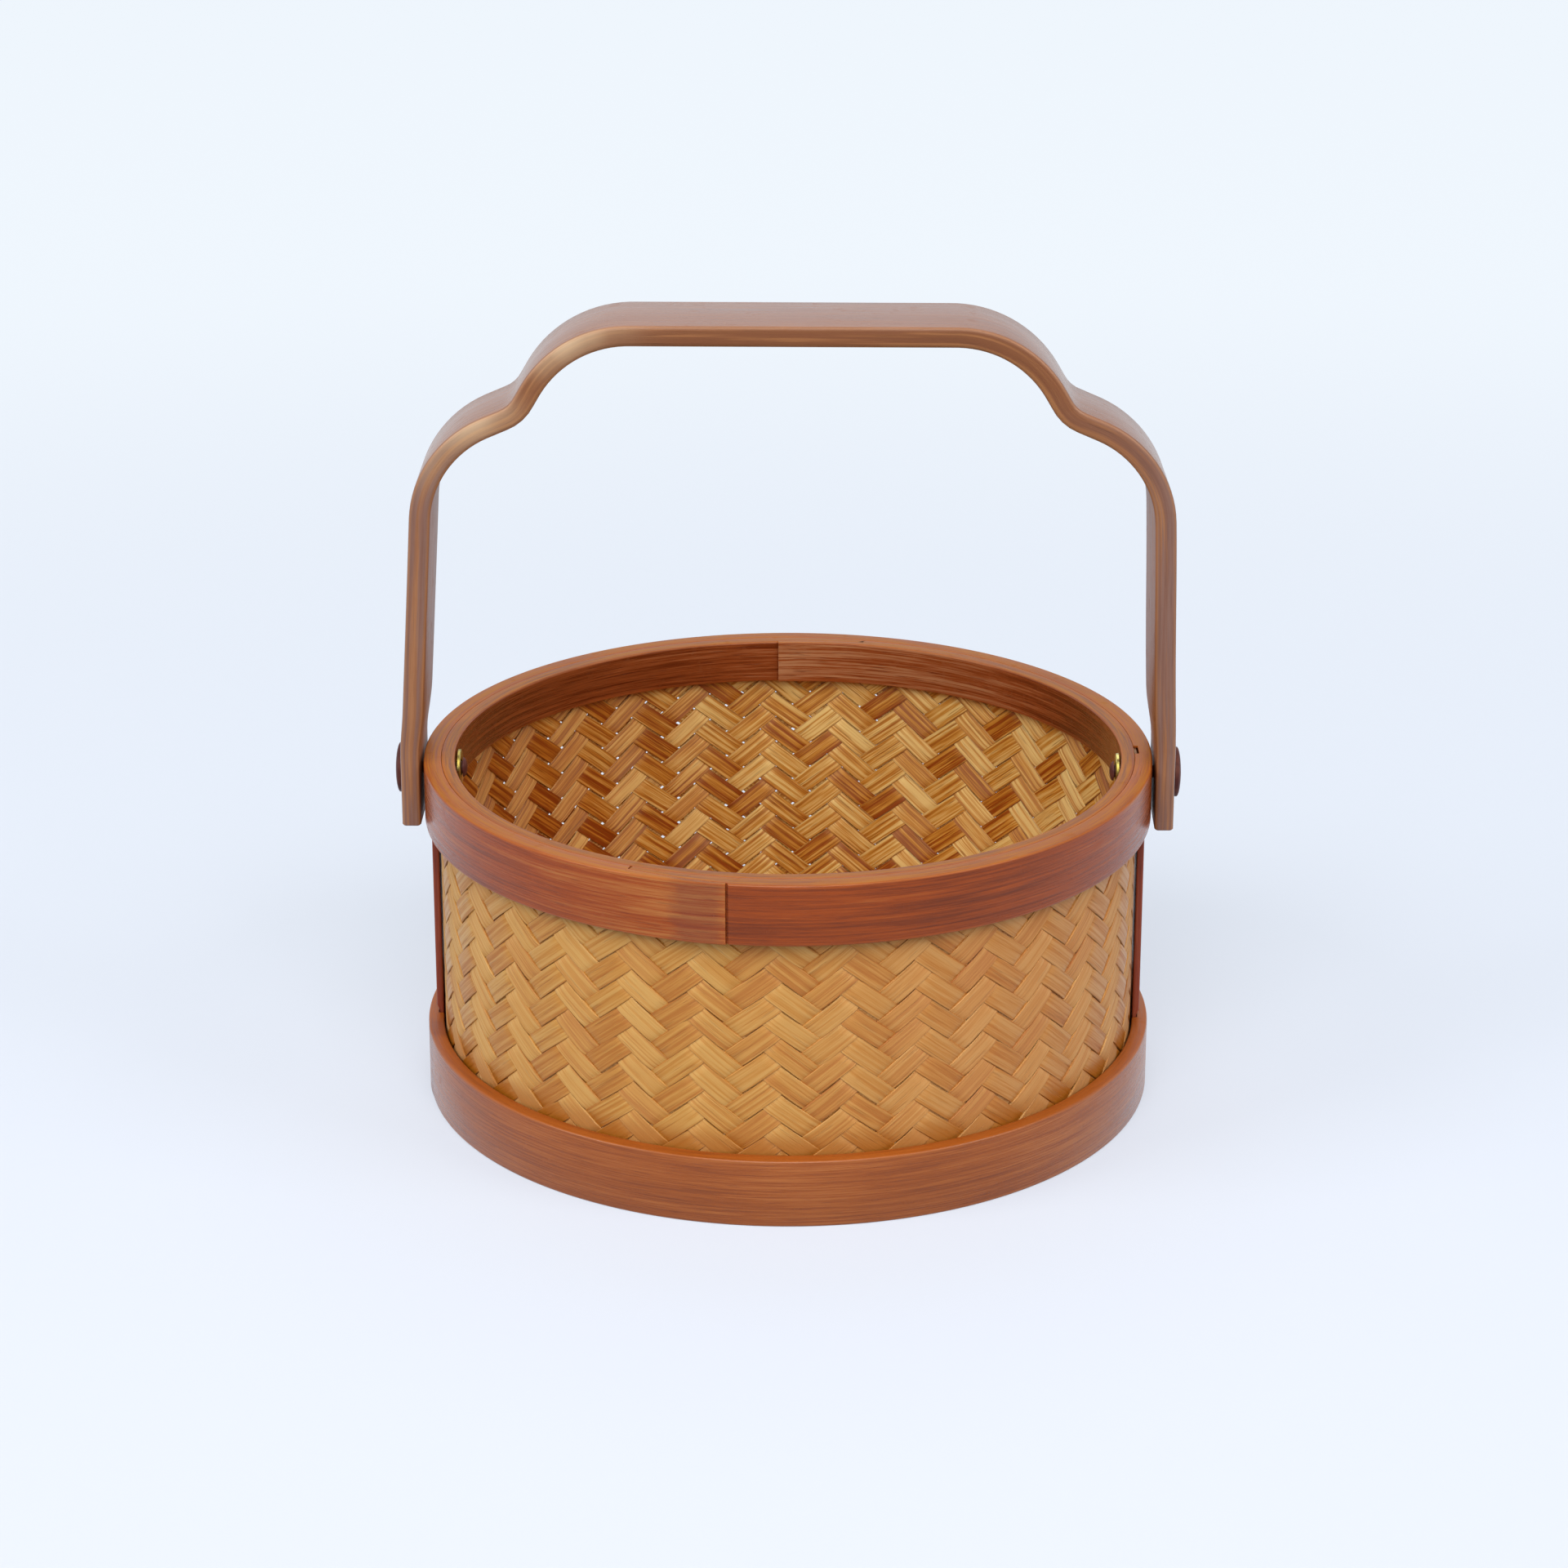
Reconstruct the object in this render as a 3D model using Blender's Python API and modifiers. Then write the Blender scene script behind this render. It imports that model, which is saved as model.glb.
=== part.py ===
"""Small woven bamboo basket with a bent bamboo handle.

Metres, +Z up. The origin is the middle of the circle that the foot hoop stands on.
The handle turns about a line along X, through the two pivot rivets.
"""

import math

import bmesh
import bpy
from mathutils import Matrix, Vector

# Basket body
BASKET_HEIGHT = 0.0671        # floor to the top of the rim
RIM_RADIUS = 0.0700           # outside of the rim hoop
CLEARANCE = 0.0003            # gap left between pieces that touch
EDGE_ROUND = 0.0004           # softened edges of the hoops

# Woven wall
WALL_THICKNESS = 0.0011       # two splints, one over the other
WALL_SETBACK = 0.0005         # top of the weave below the top of the rim
FLOOR_LIFT = 0.0010           # wall, base hoop and side slats above the floor

# Rim hoop, outside the wall
RIM_HOOP_THICKNESS = 0.0025
RIM_HOOP_HEIGHT = 0.0118
RIM_JOINT_ANGLE = math.radians(262)

# Rim liner, the hoop inside the wall
LINER_THICKNESS = 0.0018
LINER_HEIGHT = 0.0086
LINER_PROUD = 0.0005          # the overlapping end stands in by this much
LINER_FADE = math.radians(24)
LINER_JOINT_ANGLE = math.radians(93)

# Foot hoop, outside the bottom of the wall
FOOT_HOOP_THICKNESS = 0.0030
FOOT_HOOP_HEIGHT = 0.0132
FOOT_JOINT_ANGLE = math.radians(75)

# Base: a hoop inside the wall, two crossed slats and a woven mat
BASE_HOOP_THICKNESS = 0.0020
BASE_HOOP_HEIGHT = 0.0060
BASE_JOINT_ANGLE = math.radians(135)
BASE_SLAT_WIDTH = 0.0080
BASE_SLAT_THICKNESS = 0.0018
BASE_SLAT_HOUSING = 0.0010    # how far a slat's end goes into the base hoop
MAT_THICKNESS = 0.0011

# Lapped joints of the hoops
LAP_ANGLE = math.radians(16)
LAP_TIP = 0.0005              # thickness of a hoop's pared end
LAP_STEP = 0.0002             # length of the shoulder where the paring starts

# Side slats, one under each pivot
SLAT_WIDTH = 0.0080
SLAT_THICKNESS = 0.0013
TONGUE_THICKNESS = 0.0008     # pared ends, housed behind the hoops
TONGUE_RAMP = 0.0012
TONGUE_SETBACK = 0.0009       # tongue's end below the top of the rim

# Pivots
PIVOT_DROP = 0.0041           # pivot line below the top of the rim
SHANK_RADIUS = 0.0012
HEAD_RADIUS = 0.0052
HEAD_HEIGHT = 0.0014
HEAD_EDGE = 0.0006            # straight side of the head
WASHER_RADIUS = 0.0035
WASHER_THICKNESS = 0.0006
TAIL_RADIUS = 0.0019
TAIL_HEIGHT = 0.0008

# Handle: one strip bent at the shoulders, the notches and the top corners
HANDLE_THICKNESS = 0.0036
HANDLE_WIDTH = 0.0180
HANDLE_EDGE_ROUND = 0.0008
LEG_BELOW_PIVOT = 0.0088
LEG_UPRIGHT = 0.0070          # the leg is upright to this height above the pivot
SHOULDER_RISE = 0.0653        # corners of the strip's middle line above the pivot
NOTCH_RISE = 0.0730
TOP_RISE = 0.0882
SHOULDER_LEAN = 0.0032        # each corner further in than the one below it
NOTCH_INSET = 0.0178
TOP_INSET = 0.0088
LEG_BEND = 0.0300             # bend radii on the middle line
SHOULDER_BEND = 0.0207
NOTCH_BEND = 0.0075
TOP_BEND = 0.0214

# Facets
HOOP_SEGMENTS = 84
HOLE_SEGMENTS = 20
ROUND_SEGMENTS = 32
DOME_SEGMENTS = 5
BEND_STEP = math.radians(9)

# Finish of each material: colour, roughness and metallic
FINISHES = {
    "bamboo_hoop": ((0.285, 0.088, 0.034), 0.38, 0.0),
    "bamboo_handle": ((0.270, 0.115, 0.055), 0.36, 0.0),
    "bamboo_weave": ((0.560, 0.280, 0.075), 0.45, 0.0),
    "lacquered_rivet": ((0.110, 0.045, 0.022), 0.35, 0.6),
    "brass": ((0.700, 0.520, 0.190), 0.30, 1.0),
}

# Places worked out from the sizes above
RIM_INNER = RIM_RADIUS - RIM_HOOP_THICKNESS
WALL_OUTER = RIM_INNER - CLEARANCE
WALL_INNER = WALL_OUTER - WALL_THICKNESS
LINER_OUTER = WALL_INNER - CLEARANCE
LINER_INNER = LINER_OUTER - LINER_THICKNESS
FOOT_INNER = WALL_OUTER + CLEARANCE
FOOT_RADIUS = FOOT_INNER + FOOT_HOOP_THICKNESS
BASE_OUTER = WALL_INNER - CLEARANCE
BASE_INNER = BASE_OUTER - BASE_HOOP_THICKNESS
BASE_TOP = FLOOR_LIFT + BASE_HOOP_HEIGHT
RIM_BOTTOM = BASKET_HEIGHT - RIM_HOOP_HEIGHT
SLAT_INNER = WALL_OUTER + CLEARANCE
PIVOT_Z = BASKET_HEIGHT - PIVOT_DROP
HOLE_RADIUS = SHANK_RADIUS + CLEARANCE
LEG_INNER = RIM_RADIUS + CLEARANCE
LEG_MIDDLE = LEG_INNER + HANDLE_THICKNESS / 2
LEG_OUTER = LEG_INNER + HANDLE_THICKNESS
OVERCUT = 0.002


class Line:
    """A straight stretch of a path in the XZ plane."""

    def __init__(self, start, end):
        self.start, self.end = start, end
        self.length = (end - start).length
        self.steps = 1

    def at(self, distance):
        """Return the point and the direction at a distance along the stretch."""
        heading = (self.end - self.start).normalized()
        return self.start + heading * distance, heading


class Bend:
    """A round stretch of a path, tangent to the lines before and after it."""

    def __init__(self, start, heading, turn, radius):
        self.start, self.heading, self.turn, self.radius = start, heading, turn, radius
        self.length = abs(turn) * radius
        self.steps = max(2, math.ceil(abs(turn) / BEND_STEP))

    def at(self, distance):
        """Return the point and the direction at a distance along the stretch."""
        side = math.copysign(1.0, self.turn)
        inward = Vector((-self.heading.y, self.heading.x)) * side
        angle = side * distance / self.radius
        turned = Matrix.Rotation(angle, 2)
        centre = self.start + inward * self.radius
        return centre + turned @ (self.start - centre), turned @ self.heading


class Path:
    """Lines through corner points, with a bend of its own radius at each inner corner."""

    def __init__(self, corners, radii):
        self.stretches = []
        here = corners[0]
        for corner, after, radius in zip(corners[1:-1], corners[2:], radii):
            heading, leaving = (corner - here).normalized(), (after - corner).normalized()
            turn = math.atan2(heading.cross(leaving), heading.dot(leaving))
            cut = radius * math.tan(abs(turn) / 2)
            bend_start = corner - heading * cut
            self.stretches.append(Line(here, bend_start))
            self.stretches.append(Bend(bend_start, heading, turn, radius))
            here = corner + leaving * cut
        self.stretches.append(Line(here, corners[-1]))
        self.length = sum(stretch.length for stretch in self.stretches)

    def stations(self):
        """Return the distances at which the strip is divided."""
        found, walked = [], 0.0
        for stretch in self.stretches:
            found += [walked + stretch.length * step / stretch.steps for step in range(1, stretch.steps + 1)]
            walked += stretch.length
        return found[:-1]

    def at(self, distance):
        """Return the point and the direction at a distance along the whole path."""
        for stretch in self.stretches[:-1]:
            if distance <= stretch.length:
                return stretch.at(distance)
            distance -= stretch.length
        return self.stretches[-1].at(distance)


def clear_scene():
    """Remove every object, so that the script starts from nothing."""
    for item in list(bpy.data.objects):
        bpy.data.objects.remove(item, do_unlink=True)


def make_collection(name):
    """Return a new collection linked to the scene."""
    collection = bpy.data.collections.new(name)
    bpy.context.scene.collection.children.link(collection)
    return collection


def make_material(name):
    """Return a Principled material with the finish of that name."""
    colour, roughness, metallic = FINISHES[name]
    finish = bpy.data.materials.new(name)
    finish.use_nodes = True
    shader = finish.node_tree.nodes["Principled BSDF"]
    shader.inputs["Base Color"].default_value = (*colour, 1.0)
    shader.inputs["Roughness"].default_value = roughness
    shader.inputs["Metallic"].default_value = metallic
    finish.diffuse_color = (*colour, 1.0)
    return finish


class Workshop:
    """Holds the collections, the materials and the objects made so far."""

    def __init__(self):
        self.parts = make_collection("bamboo_basket")
        self.tools = make_collection("cutters")
        self.finishes = {name: make_material(name) for name in FINISHES}

    def add(self, name, bm, finish=None):
        """Turn a bmesh into an object: a part if it has a finish, else a cutter."""
        mesh = bpy.data.meshes.new(name)
        bm.to_mesh(mesh)
        bm.free()
        item = bpy.data.objects.new(name, mesh)
        if finish is None:
            self.tools.objects.link(item)
            item.display_type = "WIRE"
            item.hide_render = True
            return item
        mesh.materials.append(self.finishes[finish])
        mesh.shade_smooth()
        mesh.set_sharp_from_angle(angle=math.radians(35))
        self.parts.objects.link(item)
        return item


def cut(item, cutters):
    """Take each cutter out of a part."""
    for cutter in cutters:
        modifier = item.modifiers.new("cut_" + cutter.name, "BOOLEAN")
        modifier.operation = "DIFFERENCE"
        modifier.solver = "EXACT"
        modifier.object = cutter


def box(low, high):
    """Return a bmesh box between two corners."""
    low, high = Vector(low), Vector(high)
    bm = bmesh.new()
    bmesh.ops.create_cube(bm, size=1.0)
    bmesh.ops.scale(bm, vec=high - low, verts=bm.verts)
    bmesh.ops.translate(bm, vec=(low + high) / 2, verts=bm.verts)
    return bm


def straight_strip(length, thickness, width, edge_round, stations):
    """Return a bar along X from 0, with rounded long edges, divided at the stations."""
    bm = box((0, -thickness / 2, -width / 2), (length, thickness / 2, width / 2))
    long_edges = [e for e in bm.edges if abs(e.verts[0].co.x - e.verts[1].co.x) > length / 2]
    bmesh.ops.bevel(bm, geom=long_edges, offset=edge_round, segments=2, profile=0.5,
                    affect="EDGES", material=-1)
    for station in stations:
        bmesh.ops.bisect_plane(bm, geom=bm.verts[:] + bm.edges[:] + bm.faces[:],
                               plane_co=(station, 0, 0), plane_no=(1, 0, 0))
    return bm


def lapped_hoop(inner, thickness, bottom, height, joint_angle, lap_inside=False, proud=0.0,
                fade=LAP_ANGLE):
    """Return a strip bent into a hoop whose pared ends lap over each other.

    The strip starts under the lap, goes round once and ends over its own start. The
    end's tip is at joint_angle. The end lies outside the start, or inside it with
    lap_inside, and then its tip stands proud of the hoop by the given amount.
    """
    outer = inner + thickness
    start = joint_angle - LAP_ANGLE
    gap_angle, step_angle = CLEARANCE / outer, LAP_STEP / outer
    full_turn = 2 * math.pi
    body = thickness - 2 * LAP_TIP - CLEARANCE

    def pared(travel):
        """Return how much the strip loses on its upper and its lower side."""
        if travel <= LAP_ANGLE:
            return LAP_TIP + CLEARANCE + body * (1 - travel / LAP_ANGLE), 0.0
        if travel >= full_turn:
            return 0.0, LAP_TIP + CLEARANCE + body * (travel - full_turn) / LAP_ANGLE
        return 0.0, 0.0

    def lift(travel):
        """Return how far the strip's upper side stands proud here."""
        remaining = (full_turn + LAP_ANGLE - travel) / fade
        return proud * max(0.0, 1 - remaining) ** 2 if remaining < 1 else 0.0

    first, last = gap_angle, full_turn + LAP_ANGLE - gap_angle
    marks = [LAP_ANGLE, LAP_ANGLE + step_angle, full_turn - step_angle, full_turn]
    stations = [full_turn * step / HOOP_SEGMENTS for step in range(1, HOOP_SEGMENTS + 6)]
    nearest = full_turn / HOOP_SEGMENTS / 4
    stations = [s for s in stations if first + nearest < s < last - nearest
                and all(abs(s - mark) > nearest for mark in marks)] + marks
    bm = straight_strip(last - first, thickness, height, EDGE_ROUND, [s - first for s in stations])
    for vertex in bm.verts:
        travel = vertex.co.x + first
        top_loss, bottom_loss = pared(travel)
        share = vertex.co.y / thickness + 0.5
        depth = bottom_loss + share * (thickness - top_loss - bottom_loss) + share * lift(travel)
        radius = outer - depth if lap_inside else inner + depth
        angle = start + travel
        vertex.co = (radius * math.cos(angle), radius * math.sin(angle),
                     bottom + height / 2 + vertex.co.z)
    bmesh.ops.recalc_face_normals(bm, faces=bm.faces)
    return bm


def turned(profile, segments):
    """Return a bmesh turned about Z from a closed or axis-to-axis profile of (radius, height)."""
    bm = bmesh.new()
    verts = [bm.verts.new((radius, 0, height)) for radius, height in profile]
    edges = [bm.edges.new(pair) for pair in zip(verts, verts[1:])]
    if profile[0][0] > 0:
        edges.append(bm.edges.new((verts[-1], verts[0])))
    bmesh.ops.spin(bm, geom=verts + edges, axis=(0, 0, 1), cent=(0, 0, 0),
                   angle=2 * math.pi, steps=segments, use_merge=True)
    bmesh.ops.remove_doubles(bm, verts=bm.verts, dist=1e-6)
    bmesh.ops.recalc_face_normals(bm, faces=bm.faces)
    return bm


def along_x(bm, side):
    """Turn a piece made about Z so that its +Z points outwards along X on that side."""
    bmesh.ops.rotate(bm, cent=(0, 0, 0), matrix=Matrix.Rotation(side * math.pi / 2, 3, "Y"),
                     verts=bm.verts)
    return bm


def pivot_hole(shop, side):
    """Return a cutter for one rivet's hole through everything it passes."""
    bm = bmesh.new()
    reach = LEG_OUTER + OVERCUT - WALL_INNER + LINER_THICKNESS + 2 * OVERCUT
    bmesh.ops.create_cone(bm, cap_ends=True, segments=HOLE_SEGMENTS, radius1=HOLE_RADIUS,
                          radius2=HOLE_RADIUS, depth=reach)
    along_x(bm, side)
    middle = LEG_OUTER + OVERCUT - reach / 2
    bmesh.ops.translate(bm, vec=(side * middle, 0, PIVOT_Z), verts=bm.verts)
    return shop.add("hole_" + ("right" if side > 0 else "left"), bm)


def tongue_pocket(shop, side):
    """Return a cutter for the housing of one side slat's tongues behind both hoops."""
    half = SLAT_WIDTH / 2 + CLEARANCE
    reach = SLAT_INNER + TONGUE_THICKNESS + CLEARANCE
    xs = sorted((side * (WALL_INNER - OVERCUT), side * reach))
    bm = box((xs[0], -half, -OVERCUT), (xs[1], half, BASKET_HEIGHT + OVERCUT))
    return shop.add("pocket_" + ("right" if side > 0 else "left"), bm)


def build_wall(shop, holes):
    """Make the woven wall as an open shell of the weave's thickness."""
    top = BASKET_HEIGHT - WALL_SETBACK
    bm = bmesh.new()
    bmesh.ops.create_cone(bm, cap_ends=False, segments=HOOP_SEGMENTS, radius1=WALL_OUTER,
                          radius2=WALL_OUTER, depth=top - FLOOR_LIFT)
    bmesh.ops.translate(bm, vec=(0, 0, (top + FLOOR_LIFT) / 2), verts=bm.verts)
    wall = shop.add("woven_wall", bm, "bamboo_weave")
    shell = wall.modifiers.new("weave_thickness", "SOLIDIFY")
    shell.thickness = WALL_THICKNESS
    shell.offset = -1
    cut(wall, holes)


def build_hoops(shop, holes, pockets):
    """Make the rim hoop, its liner and the foot hoop."""
    rim = shop.add("rim_hoop", lapped_hoop(RIM_INNER, RIM_HOOP_THICKNESS, RIM_BOTTOM,
                                           RIM_HOOP_HEIGHT, RIM_JOINT_ANGLE), "bamboo_hoop")
    cut(rim, pockets + holes)
    liner = shop.add("rim_liner", lapped_hoop(LINER_INNER, LINER_THICKNESS, BASKET_HEIGHT - LINER_HEIGHT,
                                              LINER_HEIGHT, LINER_JOINT_ANGLE, True, LINER_PROUD,
                                              LINER_FADE), "bamboo_hoop")
    cut(liner, holes)
    foot = shop.add("foot_hoop", lapped_hoop(FOOT_INNER, FOOT_HOOP_THICKNESS, 0.0,
                                             FOOT_HOOP_HEIGHT, FOOT_JOINT_ANGLE), "bamboo_hoop")
    cut(foot, pockets)


def build_base(shop):
    """Make the base hoop, the crossed slats housed in it and the mat that they carry."""
    slat_bottom = BASE_TOP - BASE_SLAT_THICKNESS
    half_width = BASE_SLAT_WIDTH / 2
    reach = BASE_INNER + BASE_SLAT_HOUSING
    housing_reach = reach + CLEARANCE
    housing_half = half_width + CLEARANCE
    housings = []
    for name, quarter in (("lengthwise", 0), ("crosswise", 1)):
        bm = box((-housing_reach, -housing_half, slat_bottom - CLEARANCE),
                 (housing_reach, housing_half, BASE_TOP + OVERCUT))
        bmesh.ops.rotate(bm, matrix=Matrix.Rotation(quarter * math.pi / 2, 3, "Z"), verts=bm.verts)
        housings.append(shop.add("housing_" + name, bm))
    hoop = shop.add("base_hoop", lapped_hoop(BASE_INNER, BASE_HOOP_THICKNESS, FLOOR_LIFT,
                                             BASE_HOOP_HEIGHT, BASE_JOINT_ANGLE), "bamboo_hoop")
    cut(hoop, housings)

    middle = BASE_TOP - BASE_SLAT_THICKNESS / 2
    upper = box((-housing_half,) * 2 + (middle - CLEARANCE / 2,), (housing_half,) * 2 + (BASE_TOP + OVERCUT,))
    lower = box((-housing_half,) * 2 + (slat_bottom - OVERCUT,), (housing_half,) * 2 + (middle + CLEARANCE / 2,))
    laps = [shop.add("lap_upper", upper), shop.add("lap_lower", lower)]
    for name, quarter, lap in (("base_slat_lengthwise", 0, laps[0]), ("base_slat_crosswise", 1, laps[1])):
        bm = box((-reach, -half_width, slat_bottom), (reach, half_width, BASE_TOP))
        bmesh.ops.rotate(bm, matrix=Matrix.Rotation(quarter * math.pi / 2, 3, "Z"), verts=bm.verts)
        cut(shop.add(name, bm, "bamboo_hoop"), [lap])

    mat_bottom = BASE_TOP + CLEARANCE
    bm = bmesh.new()
    bmesh.ops.create_cone(bm, cap_ends=True, segments=HOOP_SEGMENTS, radius1=BASE_OUTER,
                          radius2=BASE_OUTER, depth=MAT_THICKNESS)
    bmesh.ops.translate(bm, vec=(0, 0, mat_bottom + MAT_THICKNESS / 2), verts=bm.verts)
    shop.add("base_mat", bm, "bamboo_weave")


def build_side_slat(shop, name, side, hole):
    """Make one side slat, pared thinner where it goes behind the hoops."""
    bottom, top = FLOOR_LIFT, BASKET_HEIGHT - TONGUE_SETBACK
    shoulders = (FOOT_HOOP_HEIGHT + CLEARANCE, RIM_BOTTOM - CLEARANCE)
    ramps = (shoulders[0] + TONGUE_RAMP, shoulders[1] - TONGUE_RAMP)
    marks = sorted(shoulders + ramps)
    bm = straight_strip(top - bottom, SLAT_THICKNESS, SLAT_WIDTH, CLEARANCE, [m - bottom for m in marks])
    for vertex in bm.verts:
        height = vertex.co.x + bottom
        into_tongue = max(ramps[0] - height, height - ramps[1], 0.0) / TONGUE_RAMP
        thickness = SLAT_THICKNESS + (TONGUE_THICKNESS - SLAT_THICKNESS) * min(1.0, into_tongue)
        out = SLAT_INNER + (vertex.co.y / SLAT_THICKNESS + 0.5) * thickness
        vertex.co = (side * out, vertex.co.z, height)
    bmesh.ops.recalc_face_normals(bm, faces=bm.faces)
    cut(shop.add(name, bm, "bamboo_hoop"), [hole])


def dome(radius, height, foot):
    """Return profile points from the top of a dome to its edge, at foot height."""
    steps = [math.pi / 2 * step / DOME_SEGMENTS for step in range(DOME_SEGMENTS + 1)]
    return [(radius * math.sin(a), foot + height * math.cos(a)) for a in steps]


def build_pivot(shop, side_name, side):
    """Make one rivet and its washer. The head is outside the leg, the tail inside the liner."""
    washer_face = math.sqrt(LINER_INNER ** 2 - WASHER_RADIUS ** 2) - CLEARANCE
    head_seat = LEG_OUTER + CLEARANCE
    tail_seat = washer_face - WASHER_THICKNESS - CLEARANCE
    head = dome(HEAD_RADIUS, HEAD_HEIGHT - HEAD_EDGE, head_seat + HEAD_EDGE)
    tail = [(radius, 2 * tail_seat - height) for radius, height in dome(TAIL_RADIUS, TAIL_HEIGHT, tail_seat)]
    profile = head + [(HEAD_RADIUS, head_seat), (SHANK_RADIUS, head_seat), (SHANK_RADIUS, tail_seat)]
    bm = turned(profile + tail[::-1], ROUND_SEGMENTS)
    bmesh.ops.translate(along_x(bm, side), vec=(0, 0, PIVOT_Z), verts=bm.verts)
    shop.add("pivot_rivet_" + side_name, bm, "lacquered_rivet")

    chamfer = WASHER_THICKNESS / 3
    inside = washer_face - WASHER_THICKNESS
    ring = [(WASHER_RADIUS, washer_face), (WASHER_RADIUS, inside + chamfer),
            (WASHER_RADIUS - chamfer, inside), (HOLE_RADIUS, inside), (HOLE_RADIUS, washer_face)]
    bm = turned(ring, ROUND_SEGMENTS)
    bmesh.ops.translate(along_x(bm, side), vec=(0, 0, PIVOT_Z), verts=bm.verts)
    shop.add("rivet_washer_" + side_name, bm, "brass")


def build_handle(shop, holes):
    """Make the handle: one strip bent along its path, with its origin on the pivot line."""
    shoulder_x = LEG_MIDDLE - SHOULDER_LEAN
    notch_x = shoulder_x - NOTCH_INSET
    top_x = notch_x - TOP_INSET
    right_side = [(top_x, TOP_RISE), (notch_x, NOTCH_RISE), (shoulder_x, SHOULDER_RISE),
                  (LEG_MIDDLE, LEG_UPRIGHT), (LEG_MIDDLE, -LEG_BELOW_PIVOT)]
    radii = [TOP_BEND, NOTCH_BEND, SHOULDER_BEND, LEG_BEND]
    corners = [(-x, rise) for x, rise in reversed(right_side)] + right_side
    path = Path([Vector(corner) for corner in corners], radii[::-1] + radii)
    bm = straight_strip(path.length, HANDLE_THICKNESS, HANDLE_WIDTH, HANDLE_EDGE_ROUND, path.stations())
    for vertex in bm.verts:
        point, heading = path.at(vertex.co.x)
        outward = Vector((-heading.y, heading.x))
        point = point + outward * vertex.co.y
        vertex.co = (point.x, vertex.co.z, point.y)
    bmesh.ops.recalc_face_normals(bm, faces=bm.faces)
    handle = shop.add("handle", bm, "bamboo_handle")
    pivot = bpy.data.objects.new("handle_pivot", None)
    pivot.location = (0, 0, PIVOT_Z)
    shop.parts.objects.link(pivot)
    handle.parent = pivot
    cut(handle, holes)


def build():
    """Build the whole basket."""
    clear_scene()
    shop = Workshop()
    sides = (("left", -1), ("right", 1))
    holes = [pivot_hole(shop, side) for _, side in sides]
    pockets = [tongue_pocket(shop, side) for _, side in sides]
    build_wall(shop, holes)
    build_hoops(shop, holes, pockets)
    build_base(shop)
    for (side_name, side), hole in zip(sides, holes):
        build_side_slat(shop, "side_slat_" + side_name, side, hole)
        build_pivot(shop, side_name, side)
    build_handle(shop, holes)


build()
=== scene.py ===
"""Looks of a small round woven bamboo basket with a bent bamboo handle.

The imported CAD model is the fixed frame. Its weave, hoops, slats, handle and rivets are
dressed here with pieces that show every splint, fibre and lapped joint. Metres, +Z up,
with the origin in the middle of the circle that the foot hoop stands on.
"""

import logging
import math
import random
from collections.abc import Sequence
from dataclasses import dataclass, replace
from enum import Enum

import bmesh
import bpy
from mathutils import Matrix, Vector


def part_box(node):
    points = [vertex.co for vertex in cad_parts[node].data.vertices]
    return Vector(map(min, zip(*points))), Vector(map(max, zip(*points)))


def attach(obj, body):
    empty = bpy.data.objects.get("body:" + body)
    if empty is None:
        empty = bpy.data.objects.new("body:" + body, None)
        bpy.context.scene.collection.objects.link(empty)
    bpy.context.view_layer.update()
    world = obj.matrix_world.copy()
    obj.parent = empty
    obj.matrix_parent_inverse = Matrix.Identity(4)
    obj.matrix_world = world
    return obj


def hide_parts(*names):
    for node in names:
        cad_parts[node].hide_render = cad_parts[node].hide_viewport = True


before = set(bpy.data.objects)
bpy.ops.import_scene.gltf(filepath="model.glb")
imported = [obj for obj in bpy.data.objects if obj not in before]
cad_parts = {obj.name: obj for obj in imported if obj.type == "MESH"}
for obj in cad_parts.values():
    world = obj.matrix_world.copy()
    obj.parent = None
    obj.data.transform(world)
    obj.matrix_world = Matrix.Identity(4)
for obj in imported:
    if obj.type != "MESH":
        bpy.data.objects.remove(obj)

MM = 0.001
CLEARANCE = 0.3 * MM
SEAM = 0.08 * MM                # gap between the two ends of a lapped hoop
HOLE_WALL = 0.05 * MM           # half the run of the steps beside a pocket or slot
PIVOT_HEIGHT = 63 * MM
SCAR_REACH = 5 * MM             # distance over which a node's mark falls away
NEAR = 0.001 * MM               # places closer than this count as one
SMOOTH_ANGLE = math.radians(32)
PLACE = "strip"       # vertex attribute: place along, through and across the straight strip
TINT = "tint"         # vertex attribute: how light the bamboo is there, 0 to 1
SCAR = "scar"         # vertex attribute: nearness to a node of the bamboo, 0 to 1

# Noises of the fibres: waves per metre along and across them, detail and roughness
BAND_NOISE = (15, 640, 3.0, 0.65)
THREAD_NOISE = (34, 1700, 4.0, 0.7)
CRACK_NOISE = (110, 2100, 2.0, 0.5)
THREAD_RANGE = (0.30, 0.70)     # noise from which a thread is dark to light
CRACK_RANGE = (0.30, 0.40)      # noise from which a crack is open to closed
CRACK_DEPTH = 0.6               # depth of a crack beside the height of threads and bands
SEED_STRIDES = (37.0, 11.0)     # how far a whole step of the seed moves the noises
SCAR_GRAIN = (260, 700, 700)    # waves per metre of a node mark's ragged edge
SCAR_RAGGED = 0.9               # how far the ragged edge strays
SCAR_RANGE = (0.18, 0.75)       # ragged nearness from which the mark shows faintly to fully
SCAR_LIMIT = (0.02, 0.2)        # plain nearness below which it ends all the same
SCAR_RIDGE = (0.75, 1.0)        # nearness over which its ridge rises
SPOTS_PER_DRIFT = 14.0          # dull spots per wave of the slow change of tone
SPOT_RANGE = (0.60, 0.75)       # noise from which a spot shows faintly to fully

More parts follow.
